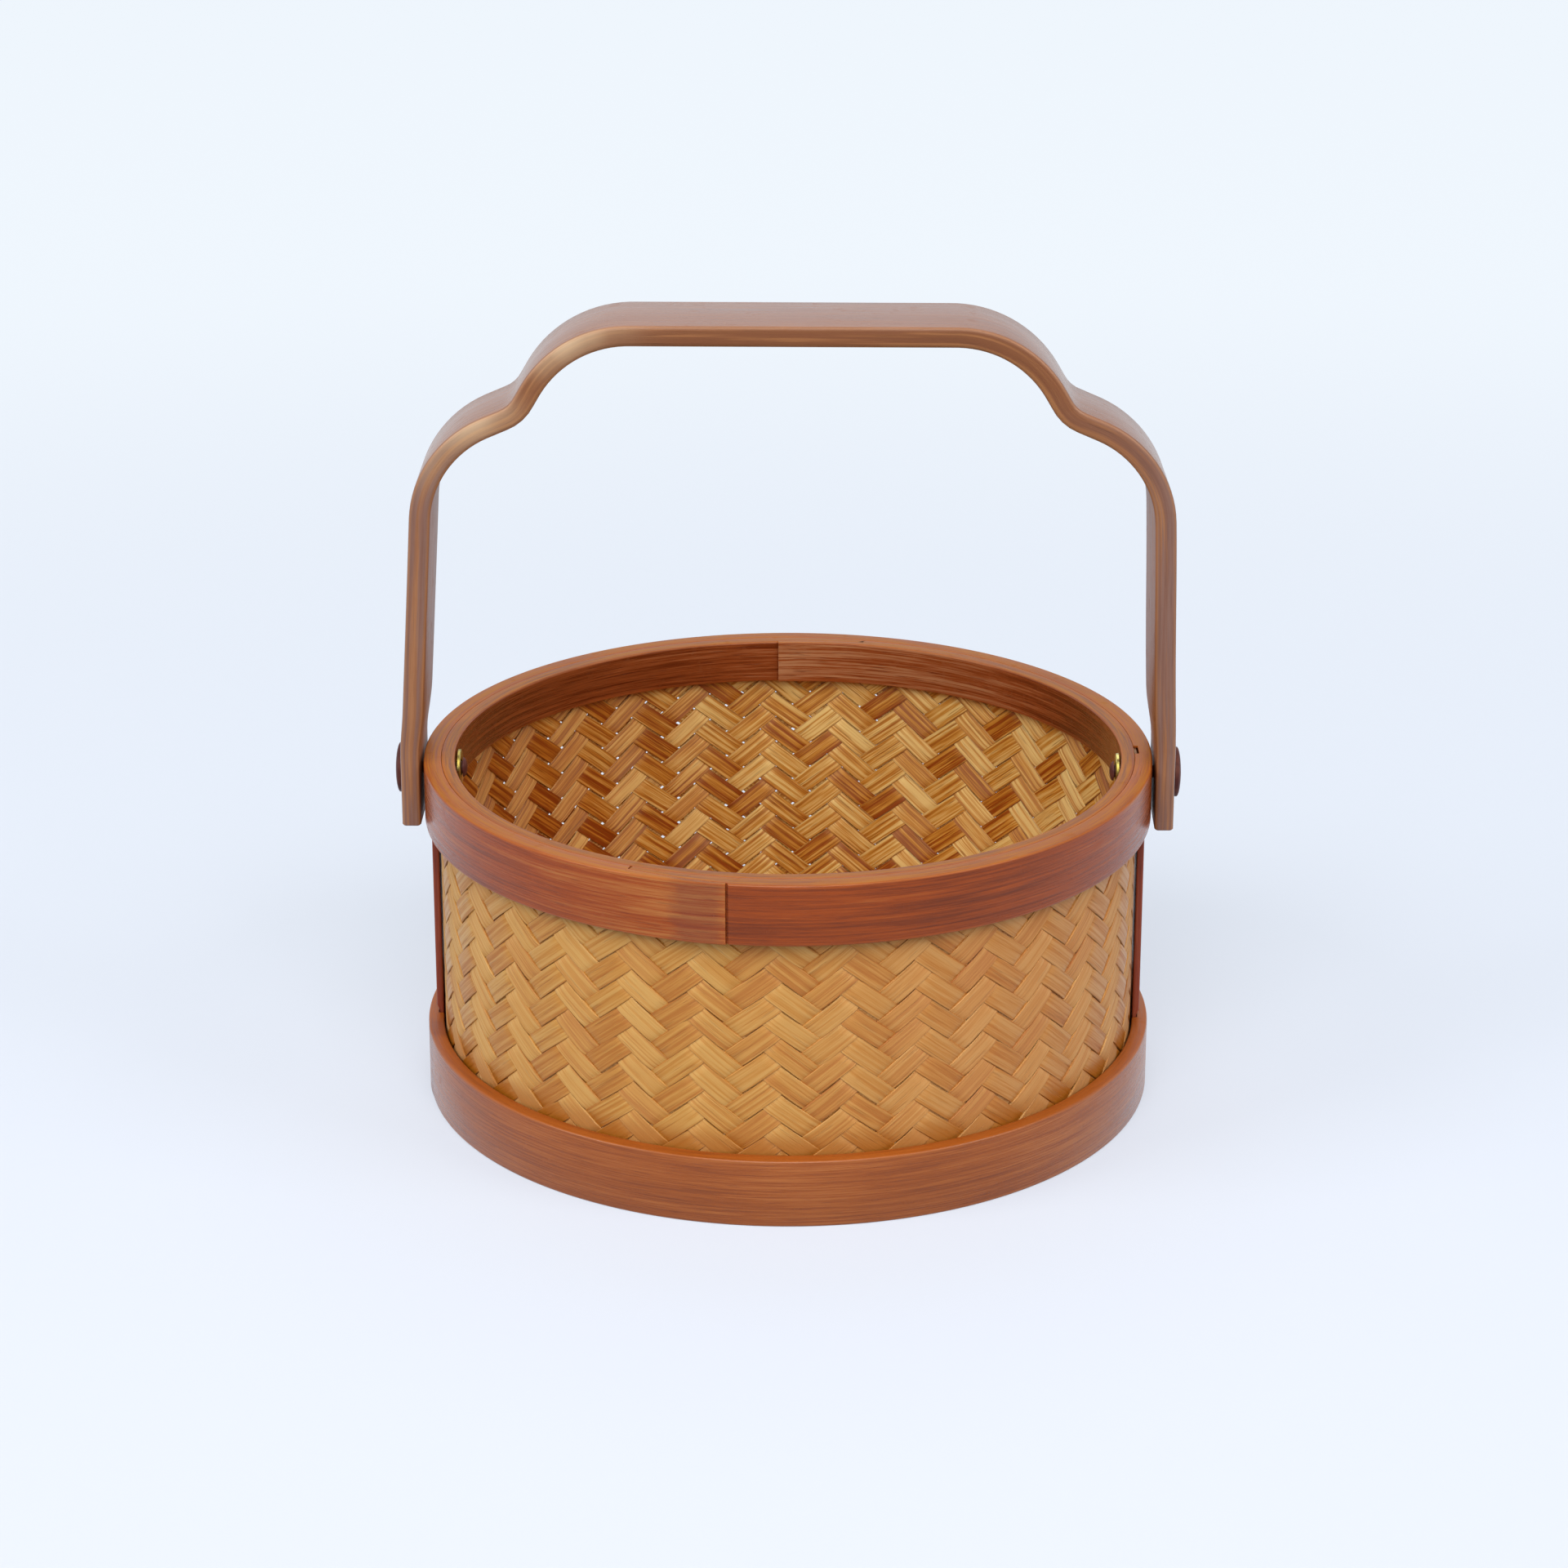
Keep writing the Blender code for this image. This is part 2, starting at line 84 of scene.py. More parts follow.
Colour = tuple[float, float, float]
Span = tuple[float, float]
Rows = Sequence[tuple[float, float]]
Mesh = bmesh.types.BMesh
Material = bpy.types.Material
Socket = bpy.types.NodeSocket
Source = Socket | float | Sequence[float]

log = logging.getLogger("basket")


class Body(Enum):
    """The rigid bodies of the basket."""

    BASKET = "basket"
    HANDLE = "handle"


class Slot(Enum):
    """The material slots named in the basket's record."""

    HOOP = "bamboo_hoop"
    HANDLE = "bamboo_handle"
    WEAVE = "bamboo_weave"
    RIVET = "lacquered_rivet"
    BRASS = "brass"


class Side(Enum):
    """The two ends of the handle's pivot line, by the sign of X."""

    LEFT = -1
    RIGHT = 1


class Family(Enum):
    """The two directions of the splints, seen from outside: rising or falling to the right."""

    RISING = 1
    FALLING = -1


def srgb(red: int, green: int, blue: int) -> Colour:
    """Turn a colour as seen on a screen into the linear values that shaders use.

    Args:
        red: Red, 0 to 255.
        green: Green, 0 to 255.
        blue: Blue, 0 to 255.

    Returns:
        The linear red, green and blue.
    """
    def linear(level: int) -> float:
        """Return one linear channel."""
        share = level / 255
        return share / 12.92 if share <= 0.04045 else ((share + 0.055) / 1.055) ** 2.4

    return linear(red), linear(green), linear(blue)


def smoothstep(low: float, high: float, value: float) -> float:
    """Return 0 below low, 1 above high and a smooth rise between them."""
    share = min(1.0, max(0.0, (value - low) / (high - low)))
    return share * share * (3 - 2 * share)


# Shader building


class NodeSheet:
    """Adds and joins the nodes of one shader tree."""

    def __init__(self, tree: bpy.types.NodeTree) -> None:
        """Keep the tree that the nodes go into."""
        self.tree = tree

    def add(self, kind: str, **settings: object) -> bpy.types.Node:
        """Add a node and set its properties.

        Args:
            kind: The node's type, without its ShaderNode prefix.
            settings: Properties of the node by name.

        Returns:
            The new node.
        """
        node = self.tree.nodes.new("ShaderNode" + kind)
        for name, value in settings.items():
            setattr(node, name, value)
        return node

    def feed(self, target: Socket, source: Source) -> None:
        """Join a socket to its source, or set it if the source is a plain value or colour.

        Args:
            target: The socket.
            source: Another socket, a value or a colour.
        """
        if isinstance(source, Socket):
            self.tree.links.new(source, target)
        elif target.type == "RGBA":
            target.default_value = (*source, 1.0)
        else:
            target.default_value = source

    def math(self, operation: str, first: Source, second: Source = 0.0, clamp: bool = False) -> Socket:
        """Return the result of a Math node.

        Args:
            operation: The node's operation.
            first: First value.
            second: Second value.
            clamp: Whether the result is kept within 0 and 1.

        Returns:
            The result's socket.
        """
        node = self.add("Math", operation=operation, use_clamp=clamp)
        self.feed(node.inputs[0], first)
        self.feed(node.inputs[1], second)
        return node.outputs[0]

    def times(self, first: Source, second: Source) -> Socket:
        """Return the product of two values."""
        return self.math("MULTIPLY", first, second)

    def swing(self, value: Source, share: float) -> Socket:
        """Return a share of how far a value lies above a half."""
        return self.times(self.math("SUBTRACT", value, 0.5), share)

    def total(self, first: Source, *others: Source) -> Socket:
        """Return the sum of two or more values, kept within 0 and 1."""
        for value in others[:-1]:
            first = self.math("ADD", first, value)
        return self.math("ADD", first, others[-1], clamp=True)

    def remap(self, value: Source, low: float, high: float, to_low: float = 0.0,
              to_high: float = 1.0) -> Socket:
        """Return a value spread smoothly from one range to another, kept within it.

        Args:
            value: The value.
            low: Start of its range.
            high: End of its range.
            to_low: What the start becomes.
            to_high: What the end becomes.

        Returns:
            The result's socket.
        """
        node = self.add("MapRange", interpolation_type="SMOOTHSTEP")
        for socket, source in zip(node.inputs[:5], (value, low, high, to_low, to_high)):
            self.feed(socket, source)
        return node.outputs[0]

    def blend(self, share: Source, first: Source, second: Source, mode: str = "MIX") -> Socket:
        """Return one colour mixed into another.

        Args:
            share: How much of the second colour is mixed in, 0 to 1.
            first: Colour underneath.
            second: Colour mixed in.
            mode: How the two are mixed.

        Returns:
            The mixed colour's socket.
        """
        node = self.add("Mix", data_type="RGBA", blend_type=mode)
        self.feed(node.inputs["Factor"], share)
        self.feed(node.inputs[6], first)
        self.feed(node.inputs[7], second)
        return node.outputs[2]

    def stretch(self, place: Source, scale: Sequence[float],
                shift: Source = (0.0, 0.0, 0.0)) -> Socket:
        """Return a place multiplied by a scale for each axis, then shifted.

        Args:
            place: The place.
            scale: Factor for each axis.
            shift: What is added after that.

        Returns:
            The new place's socket.
        """
        node = self.add("VectorMath", operation="MULTIPLY_ADD")
        self.feed(node.inputs[0], place)
        self.feed(node.inputs[1], scale)
        self.feed(node.inputs[2], shift)
        return node.outputs[0]

    def noise(self, place: Source, scale: float = 1.0, detail: float = 2.0,
              roughness: float = 0.5) -> Socket:
        """Return a noise value at a place.

        Args:
            place: The place.
            scale: Waves per unit of place.
            detail: How many finer layers it has.
            roughness: How strong those are.

        Returns:
            The noise's socket, 0 to 1.
        """
        node = self.add("TexNoise")
        for name, source in (("Vector", place), ("Scale", scale), ("Detail", detail),
                             ("Roughness", roughness)):
            self.feed(node.inputs[name], source)
        return node.outputs["Fac"]

    def length(self, place: Source) -> Socket:
        """Return a place's distance from the origin."""
        node = self.add("VectorMath", operation="LENGTH")
        self.feed(node.inputs[0], place)
        return node.outputs["Value"]

    def scale(self, place: Source, factor: Source) -> Socket:
        """Return a place multiplied by one factor on every axis.

        Args:
            place: The place.
            factor: The factor.

        Returns:
            The new place's socket.
        """
        node = self.add("VectorMath", operation="SCALE")
        self.feed(node.inputs[0], place)
        self.feed(node.inputs["Scale"], factor)
        return node.outputs[0]

    def seen(self) -> Socket:
        """Return 1 for rays that show a surface, by sight, gloss or glass, and 0 for lighting."""
        rays = self.add("LightPath").outputs
        found = self.math("MAXIMUM", rays["Is Camera Ray"], rays["Is Glossy Ray"])
        return self.math("MAXIMUM", found, rays["Is Transmission Ray"])

    def ramp(self, value: Source, stops: Sequence[tuple[float, Colour]]) -> Socket:
        """Return the colour that a value picks from a row of colours.

        Args:
            value: The value, 0 to 1.
            stops: Values, rising, and the colour at each.

        Returns:
            The colour's socket.
        """
        node = self.add("ValToRGB")
        self.feed(node.inputs[0], value)
        elements = node.color_ramp.elements
        while len(elements) < len(stops):
            elements.new(0.5)
        for element, (position, colour) in zip(elements, stops):
            element.position = position
            element.color = (*colour, 1.0)
        return node.outputs["Color"]

    def attribute(self, name: str) -> bpy.types.Node:
        """Return a node that reads a vertex attribute."""
        return self.add("Attribute", attribute_name=name)

    def axes(self, place: Source) -> Sequence[Socket]:
        """Return the three values of a place."""
        node = self.add("SeparateXYZ")
        self.feed(node.inputs[0], place)
        return node.outputs


@dataclass(frozen=True)
class Port:
    """One input of a shared effect, with the value it has when nothing feeds it."""

    name: str
    kind: str
    value: float | Sequence[float] = 0.0


STRIP_PORTS = (Port("Place", "Vector"), Port("Half Thickness", "Float", MM),
               Port("Half Width", "Float", MM), Port("Reach", "Float", MM))


class Effects:
    """The shared effects: node groups that give masks and values which vary over a surface."""

    def __init__(self) -> None:
        """Build each effect once."""
        self.fibres = self._fibres()
        self.edges = self._edges()
        self.faces = self._faces()
        self.scars = self._scars()
        self.drift = self._drift()

    @staticmethod
    def _group(name: str, ports: Sequence[Port],
               results: Sequence[str]) -> tuple[NodeSheet, bpy.types.Node, bpy.types.Node]:
        """Start a node group with named inputs and outputs.

        Args:
            name: The group's name.
            ports: Its inputs.
            results: Names of its outputs, each of them a value.

        Returns:
            The sheet to build on, the input node and the output node.
        """
        tree = bpy.data.node_groups.new(name, "ShaderNodeTree")
        for port in ports:
            socket = tree.interface.new_socket(port.name, in_out="INPUT",
                                               socket_type="NodeSocket" + port.kind)
            if port.kind == "Float":
                socket.default_value = port.value
        for result in results:
            tree.interface.new_socket(result, in_out="OUTPUT", socket_type="NodeSocketFloat")
        sheet = NodeSheet(tree)
        return sheet, tree.nodes.new("NodeGroupInput"), tree.nodes.new("NodeGroupOutput")

    def _fibres(self) -> bpy.types.NodeTree:
        """Lengthwise fibres: broad bands, fine threads, dark cracks and a height for bumps.

        Returns:
            The effect's node group.
        """
        sheet, given, made = self._group(
            "Lengthwise fibres",
            [Port("Place", "Vector"), Port("Seed", "Float"), Port("Coarseness", "Float", 1.0)],
            ["Bands", "Threads", "Cracks", "Height"])
        seed = sheet.add("CombineXYZ")
        for socket, stride in zip(seed.inputs, SEED_STRIDES):
            sheet.feed(socket, sheet.times(given.outputs["Seed"], stride))
        place = sheet.scale(given.outputs["Place"], given.outputs["Coarseness"])
        bands, threads, cracks = (
            sheet.noise(sheet.stretch(place, (along, across, across), seed.outputs[0]),
                        detail=detail, roughness=roughness)
            for along, across, detail, roughness in (BAND_NOISE, THREAD_NOISE, CRACK_NOISE))
        threads = sheet.remap(threads, *THREAD_RANGE)
        cracks = sheet.remap(cracks, *CRACK_RANGE, 1.0, 0.0)
        body = sheet.math("ADD", sheet.times(threads, 0.5), sheet.times(bands, 0.5))
        height = sheet.math("SUBTRACT", body, sheet.times(cracks, CRACK_DEPTH))
        for socket, source in zip(made.inputs, (bands, threads, cracks, height)):
            sheet.feed(socket, source)
        return sheet.tree

    def _edges(self) -> bpy.types.NodeTree:
        """Nearness to a strip's four long edges, from its half sizes.

        Returns:
            The effect's node group.
        """
        sheet, given, made = self._group("Strip edges", STRIP_PORTS, ["Mask"])
        _, through, across = sheet.axes(given.outputs["Place"])
        gaps = [sheet.math("SUBTRACT", given.outputs[half], sheet.math("ABSOLUTE", value))
                for half, value in (("Half Thickness", through), ("Half Width", across))]
        nearest = sheet.math("MAXIMUM", *gaps)
        share = sheet.math("DIVIDE", nearest, given.outputs["Reach"])
        sheet.feed(made.inputs["Mask"], sheet.remap(share, 0.0, 1.0, 1.0, 0.0))
        return sheet.tree

    def _faces(self) -> bpy.types.NodeTree:
        """Which face of a strip a place is on: the bamboo's outer skin, or a narrow cut face.

        Returns:
            The effect's node group.
        """
        sheet, given, made = self._group("Strip faces", STRIP_PORTS, ["Skin", "Cut"])
        _, through, across = sheet.axes(given.outputs["Place"])
        for name, half, value in (("Skin", "Half Thickness", through),
                                  ("Cut", "Half Width", sheet.math("ABSOLUTE", across))):
            gap = sheet.math("SUBTRACT", given.outputs[half], value)
            share = sheet.math("DIVIDE", gap, given.outputs["Reach"])
            sheet.feed(made.inputs[name], sheet.remap(share, 0.0, 1.0, 1.0, 0.0))
        return sheet.tree

    def _scars(self) -> bpy.types.NodeTree:
        """The ragged dark mark round a node of the bamboo.

        Returns:
            The effect's node group.
        """
        sheet, given, made = self._group(
            "Node scars", [Port("Place", "Vector"), Port("Nearness", "Float")], ["Mask", "Ridge"])
        nearness = given.outputs["Nearness"]
        ragged = sheet.noise(sheet.stretch(given.outputs["Place"], SCAR_GRAIN), 1.0, 3.0, 0.6)
        reach = sheet.total(nearness, sheet.swing(ragged, SCAR_RAGGED))
        sheet.feed(made.inputs["Mask"], sheet.times(sheet.remap(reach, *SCAR_RANGE),
                                                    sheet.remap(nearness, *SCAR_LIMIT)))
        sheet.feed(made.inputs["Ridge"], sheet.remap(nearness, *SCAR_RIDGE))
        return sheet.tree

    def _drift(self) -> bpy.types.NodeTree:
        """Slow change of tone over the whole basket, and small dull spots.

        Returns:
            The effect's node group.
        """
        sheet, given, made = self._group(
            "Slow drift", [Port("Place", "Vector"), Port("Scale", "Float", 30.0)], ["Tone", "Spots"])
        place = sheet.scale(given.outputs["Place"], given.outputs["Scale"])
        sheet.feed(made.inputs["Tone"], sheet.noise(place))
        spots = sheet.noise(place, SPOTS_PER_DRIFT, roughness=0.6)
        sheet.feed(made.inputs["Spots"], sheet.remap(spots, *SPOT_RANGE))
        return sheet.tree


class FinishSheet(NodeSheet):
    """The nodes of one material, round its Principled shader."""

    def __init__(self, name: str, effects: Effects) -> None:
        """Start the material.

        Args:
            name: The material's name.
            effects: The shared effects that it may use.
        """
        self.material = bpy.data.materials.new(name)
        self.material.use_nodes = True
        super().__init__(self.material.node_tree)
        self.effects = effects
        self.shader = self.tree.nodes["Principled BSDF"]

    def effect(self, group: bpy.types.NodeTree, **sources: Source) -> Sequence[Socket]:
        """Place a shared effect and feed its inputs.

        Args:
            group: The effect's node group.
            sources: What feeds each input; an underscore stands for a space in its name.

        Returns:
            The effect's outputs.
        """
        node = self.add("Group", node_tree=group)
        for name, source in sources.items():
            self.feed(node.inputs[name.replace("_", " ")], source)
        return node.outputs

    def constants(self, **values: float | Sequence[float]) -> None:
        """Set sockets of the shader that are the same all over the surface."""
        for name, value in values.items():
            self.feed(self.shader.inputs[name.replace("_", " ")], value)

    def bump(self, height: Source, depth: float, strength: float = 1.0) -> None:
        """Feed a height to the shader's normal through a Bump node.

        Args:
            height: The height, 0 to 1.
            depth: How deep a whole step of it is.
            strength: How much of the bump shows.
        """
        node = self.add("Bump")
        for name, source in (("Strength", strength), ("Distance", depth), ("Height", height)):
            self.feed(node.inputs[name], source)
        self.feed(self.shader.inputs["Normal"], node.outputs[0])

    def paint(self, colour: Source, roughness: Source) -> None:
        """Feed the shader's colour and roughness."""
        self.feed(self.shader.inputs["Base Color"], colour)
        self.feed(self.shader.inputs["Roughness"], roughness)


# Finishes


@dataclass(frozen=True)
class SplintFinish:
    """Thin golden bamboo splints: browner outside, paler and more varied inside.

    Painted shade: the left of the inside and the right of the outside are made darker and ruddier,
    the edges are darkened where splints pass under each other, and the tops where they sit in the
    seam between the hoops. Glue has darkened the foot of the wall.
    """

    name: str = "woven_splints"
    outer: tuple[Colour, ...] = (srgb(167, 98, 31), srgb(184, 123, 48), srgb(194, 143, 72))
    inner: tuple[Colour, ...] = (srgb(136, 56, 4), srgb(193, 130, 44), srgb(226, 193, 120))
    stops: tuple[float, ...] = (0.0, 0.5, 1.0)
    tint_range: Span = (0.075, 0.925)
    band_share: float = 0.7
    thread_share: float = 1.0
    # painted shade: multiplies the inside's left and the outside's right to a darker, ruddier tone
    painted_shade_inside: Colour = srgb(227, 194, 160)
    painted_shade_inside_until: Span = (-62 * MM, 2 * MM)
    painted_shade_outside: Colour = srgb(250, 234, 246)
    painted_shade_outside_from: Span = (-20 * MM, 45 * MM)
    crack: Colour = srgb(118, 58, 10)
    crack_shares: Span = (0.5, 0.25)       # inside, outside
    # painted shade: the splints' edges are darkened, deeper inside, for the shadow where they pass under
    # each other
    edge: Colour = srgb(136, 72, 14)
    inner_edge_shade: Colour = srgb(96, 42, 4)
    edge_shade_shares: Span = (0.7, 0.4)         # inside, outside
    edge_reach: float = 0.22 * MM
    gloss: Colour = srgb(255, 224, 170)
    dull_and_smooth: Span = (0.58, 0.42)
    glue: Colour = srgb(158, 90, 12)
    glue_share: float = 0.8
    glue_fade: Span = (14.6 * MM, 18.6 * MM)
    glue_ring: Span = (65.9 * MM, 66.2 * MM)
    # painted shade: the splints' tops, in the seam between the hoops, are darkened
    top_shade: Colour = srgb(104, 54, 40)
    top_shade_share: float = 0.85
    top_shade_from: Span = (65.9 * MM, 66.4 * MM)
    width: float = 4.02 * MM
    thickness: float = 0.42 * MM
    relief: float = 0.08 * MM
    relief_share: float = 0.8

    def make(self, effects: Effects) -> Material:
        """Build the material.

        Args:
            effects: The shared effects.

        Returns:
            The material.
        """
        sheet = FinishSheet(self.name, effects)
        place = sheet.attribute(PLACE).outputs["Vector"]
        tint = sheet.attribute(TINT).outputs["Fac"]
        half_sizes = {"Half_Thickness": self.thickness / 2, "Half_Width": self.width / 2}
        skin, _ = sheet.effect(effects.faces, Place=place, Reach=self.thickness, **half_sizes)
        edge, = sheet.effect(effects.edges, Place=place, Reach=self.edge_reach, **half_sizes)
        bands, threads, cracks, height = sheet.effect(effects.fibres, Place=place, Seed=tint)
        darkest, lightest = self.tint_range
        tone = sheet.total(sheet.times(tint, lightest - darkest), darkest,
                           sheet.swing(bands, self.band_share), sheet.swing(threads, self.thread_share))
        inside, outside = (sheet.ramp(tone, list(zip(self.stops, row)))
                           for row in (self.inner, self.outer))
        body_place = sheet.add("TexCoord").outputs["Object"]
        left, _, height_up = sheet.axes(body_place)
        # Painted shade: the inside's left and the outside's right made darker and ruddier.
        inside = sheet.blend(sheet.remap(left, *self.painted_shade_inside_until, 1.0, 0.0), inside, self.painted_shade_inside,
                             "MULTIPLY")
        outside = sheet.blend(sheet.remap(left, *self.painted_shade_outside_from), outside,
                              self.painted_shade_outside, "MULTIPLY")
        around = sheet.length(sheet.stretch(body_place, (1.0, 1.0, 0.0)))
        glued = sheet.times(sheet.remap(height_up, *self.glue_fade, self.glue_share, 0.0),
                            sheet.remap(around, *self.glue_ring))
        colour = sheet.blend(skin, inside, sheet.blend(glued, outside, self.glue))
        colour = sheet.blend(sheet.times(cracks, sheet.remap(skin, 0.0, 1.0, *self.crack_shares)),
                             colour, self.crack)
        # Painted shade: darker edges for the shadow where splints pass under each other.
        colour = sheet.blend(sheet.times(edge, sheet.remap(skin, 0.0, 1.0, *self.edge_shade_shares)),
                             colour, sheet.blend(skin, self.inner_edge_shade, self.edge))
        # Painted shade: the tops of the splints, in the seam between the hoops, darkened.
        ends = sheet.remap(height_up, *self.top_shade_from, 0.0, self.top_shade_share)
        sheet.paint(sheet.blend(ends, colour, self.top_shade),
                    sheet.remap(threads, 0.0, 1.0, *self.dull_and_smooth))
        tangent = sheet.add("Tangent", direction_type="UV_MAP", uv_map="UVMap")
        sheet.feed(sheet.shader.inputs["Tangent"], tangent.outputs[0])
        sheet.constants(Anisotropic=0.9, Anisotropic_Rotation=0.25, IOR=1.7, Specular_IOR_Level=0.9,
                        Specular_Tint=self.gloss)
        sheet.bump(height, self.relief, self.relief_share)
        return sheet.material


@dataclass(frozen=True)
class BambooFinish:
    """Stained and lacquered bamboo strip, with fibres, node marks, cut faces, worn edges and painted
    highlights.
    """

    name: str
    dark: Colour
    middle: Colour
    light: Colour
    edge: Colour
    thickness: float
    width: float
    band_share: float = 0.6
    thread_share: float = 0.34
    drift_share: float = 0.35
    crack_share: float = 0.35
    fineness: float = 1.5
    fibre_seed: float = 0.3
    drift_pace: float = 24.0        # waves per metre of the slow change of tone
    stops: tuple[float, ...] = (0.05, 0.5, 0.95)
    face_reach: float = 0.35 * MM
    skin: Colour = srgb(124, 84, 66)
    skin_share: float = 0.0
    cut: Colour = srgb(184, 122, 82)
    cut_share: float = 0.0
    cut_grain: float = 0.6
    low_cut: Colour | None = None
    low_until: Span = (118 * MM, 144 * MM)
    cut_line: Colour = srgb(184, 136, 88)
    cut_line_share: float = 0.0
    cut_line_bands: Span = (0.48, 0.62)
    scar: Colour = srgb(100, 46, 36)
    scar_share: float = 0.42
    edge_reach: float = 0.7 * MM
    edge_share: float = 0.5
    # painted highlight: a pale colour on the cut faces and edges where the tint is high, for the glint on
    # the handle's bends
    painted_highlight: Colour = srgb(236, 208, 168)
    painted_highlight_share: float = 0.0
    painted_highlight_tones: Span = (0.52, 0.68)
    painted_highlight_inside: float = 0.3      # how much of the painted highlight reaches the inner face's edges
    smooth: float = 0.22
    rough: float = 0.36
    spot_rough: float = 0.12
    back_rough: float = 0.0
    cut_rough: float = 0.2
    gloss: float = 0.32
    gloss_tint: Colour = srgb(255, 255, 255)
    coat: float = 0.0
    bare_coat: float = 0.2          # share of the coat that is on the faces without skin
    relief: float = 0.05 * MM
    relief_share: float = 0.6
    ridge: float = 0.8              # height of a node's ridge beside that of the fibres

    def make(self, effects: Effects) -> Material:
        """Build the material.

        Args:
            effects: The shared effects.

        Returns:
            The material.
        """
        sheet = FinishSheet(self.name, effects)
        self.dress(sheet, sheet.attribute(PLACE).outputs["Vector"],
                   sheet.attribute(SCAR).outputs["Fac"], sheet.attribute(TINT).outputs["Fac"])
        return sheet.material

    def dress(self, sheet: FinishSheet, place: Source, nearness: Source, tint: Source) -> None:
        """Fill a material's sheet.

        Args:
            sheet: The material's sheet.
            place: Place along, through and across the strip.
            nearness: Nearness to a node of the bamboo.
            tint: How light the strip is here, 0 to 1.
        """
        effects = sheet.effects
        half_sizes = {"Half_Thickness": self.thickness / 2, "Half_Width": self.width / 2}
        bands, threads, cracks, height = sheet.effect(
            effects.fibres, Place=place, Seed=self.fibre_seed, Coarseness=self.fineness)
        body_place = sheet.add("TexCoord").outputs["Object"]
        drift, spots = sheet.effect(effects.drift, Place=body_place, Scale=self.drift_pace)
        skin, cut = sheet.effect(effects.faces, Place=place, Reach=self.face_reach, **half_sizes)
        edge, = sheet.effect(effects.edges, Place=place, Reach=self.edge_reach, **half_sizes)
        mark, ridge = sheet.effect(effects.scars, Place=place, Nearness=nearness)

        shade = sheet.total(tint, sheet.swing(bands, self.band_share),
                            sheet.swing(threads, self.thread_share), sheet.swing(drift, self.drift_share))
        colour = sheet.ramp(shade, list(zip(self.stops, (self.dark, self.middle, self.light))))
        colour = sheet.blend(sheet.times(cracks, self.crack_share), colour, self.dark)
        colour = sheet.blend(sheet.times(skin, self.skin_share), colour, self.skin)
        cut_colour = self.cut_tones(sheet, sheet.axes(body_place)[2], bands)
        grain = sheet.times(sheet.remap(threads, 0.1, 0.9, self.cut_grain, 1.0), self.cut_share)
        colour = sheet.blend(sheet.times(cut, grain), colour, cut_colour)
        colour = sheet.blend(sheet.times(mark, self.scar_share), colour, self.scar)
        # Edge colour: wear on the hoops and slats; on the handle a painted highlight.
        colour = sheet.blend(sheet.times(edge, self.edge_share), colour, self.edge)
        # Painted highlight on the cut faces and edges, stronger towards the skin side, where the tint is
        # high.
        if self.painted_highlight_share:
            half = self.thickness / 2
            highlit_faces = sheet.times(sheet.math("MAXIMUM", cut, edge),
                               sheet.remap(sheet.axes(place)[1], -half, half, self.painted_highlight_inside, 1.0))
            painted_highlight = sheet.remap(tint, *self.painted_highlight_tones, 0.0, self.painted_highlight_share)
            colour = sheet.blend(sheet.times(painted_highlight, highlit_faces), colour, self.painted_highlight)

        bare_rough = sheet.times(sheet.math("SUBTRACT", 1.0, skin), self.back_rough)
        sheet.paint(colour, sheet.total(
            sheet.remap(threads, 0.0, 1.0, self.smooth, self.rough), sheet.times(spots, self.spot_rough),
            bare_rough, sheet.times(cut, self.cut_rough)))
        sheet.constants(Specular_IOR_Level=self.gloss, Coat_Roughness=0.22, Specular_Tint=self.gloss_tint)
        coated = sheet.math("ADD", sheet.times(skin, 1 - self.bare_coat), self.bare_coat)
        sheet.feed(sheet.shader.inputs["Coat Weight"], sheet.times(coated, self.coat))
        sheet.bump(sheet.math("ADD", height, sheet.times(ridge, self.ridge)), self.relief,
                   self.relief_share)

    def cut_tones(self, sheet: FinishSheet, height: Source, bands: Source) -> Source:
        """Return the colour of the narrow cut faces, greyer low down and with light lines.

        Args:
            sheet: The material's sheet.
            height: Height on the basket.
            bands: The broad bands of the fibres.

        Returns:
            A colour or the socket that gives it.
        """
        colour: Source = self.cut
        if self.low_cut:
            colour = sheet.blend(sheet.remap(height, *self.low_until), self.low_cut, colour)
        if self.cut_line_share:
            lines = sheet.times(sheet.remap(bands, *self.cut_line_bands), self.cut_line_share)
            colour = sheet.blend(lines, colour, self.cut_line)
        return colour


@dataclass(frozen=True)
class BrassFinish:
    """Thin brass with a green-gold tone, turned rings and dull patches."""

    name: str = "washer_brass"
    bright: Colour = srgb(214, 196, 120)
    dull: Colour = srgb(150, 132, 62)
    patches: float = 400.0                          # waves per metre of the dull patches
    patch_tones: Span = (0.35, 0.65)
    rough_tones: Span = (0.3, 0.7)
    smooth_and_dull: Span = (0.22, 0.36)
    spot_rough: float = 0.12
    turning: tuple[float, ...] = (300, 4000, 4000)  # waves per metre of the turned rings
    relief: float = 0.02 * MM
    relief_share: float = 0.4

    def make(self, effects: Effects) -> Material:
        """Build the material.

        Args:
            effects: The shared effects.

        Returns:
            The material.
        """
        sheet = FinishSheet(self.name, effects)
        place = sheet.add("TexCoord").outputs["Object"]
        tone, spots = sheet.effect(effects.drift, Place=place, Scale=self.patches)
        colour = sheet.blend(sheet.remap(tone, *self.patch_tones), self.bright, self.dull)
        sheet.paint(colour, sheet.total(sheet.remap(tone, *self.rough_tones, *self.smooth_and_dull),
                                        sheet.times(spots, self.spot_rough)))
        sheet.constants(Metallic=1.0)
        sheet.bump(sheet.noise(sheet.stretch(place, self.turning)), self.relief, self.relief_share)
        return sheet.material


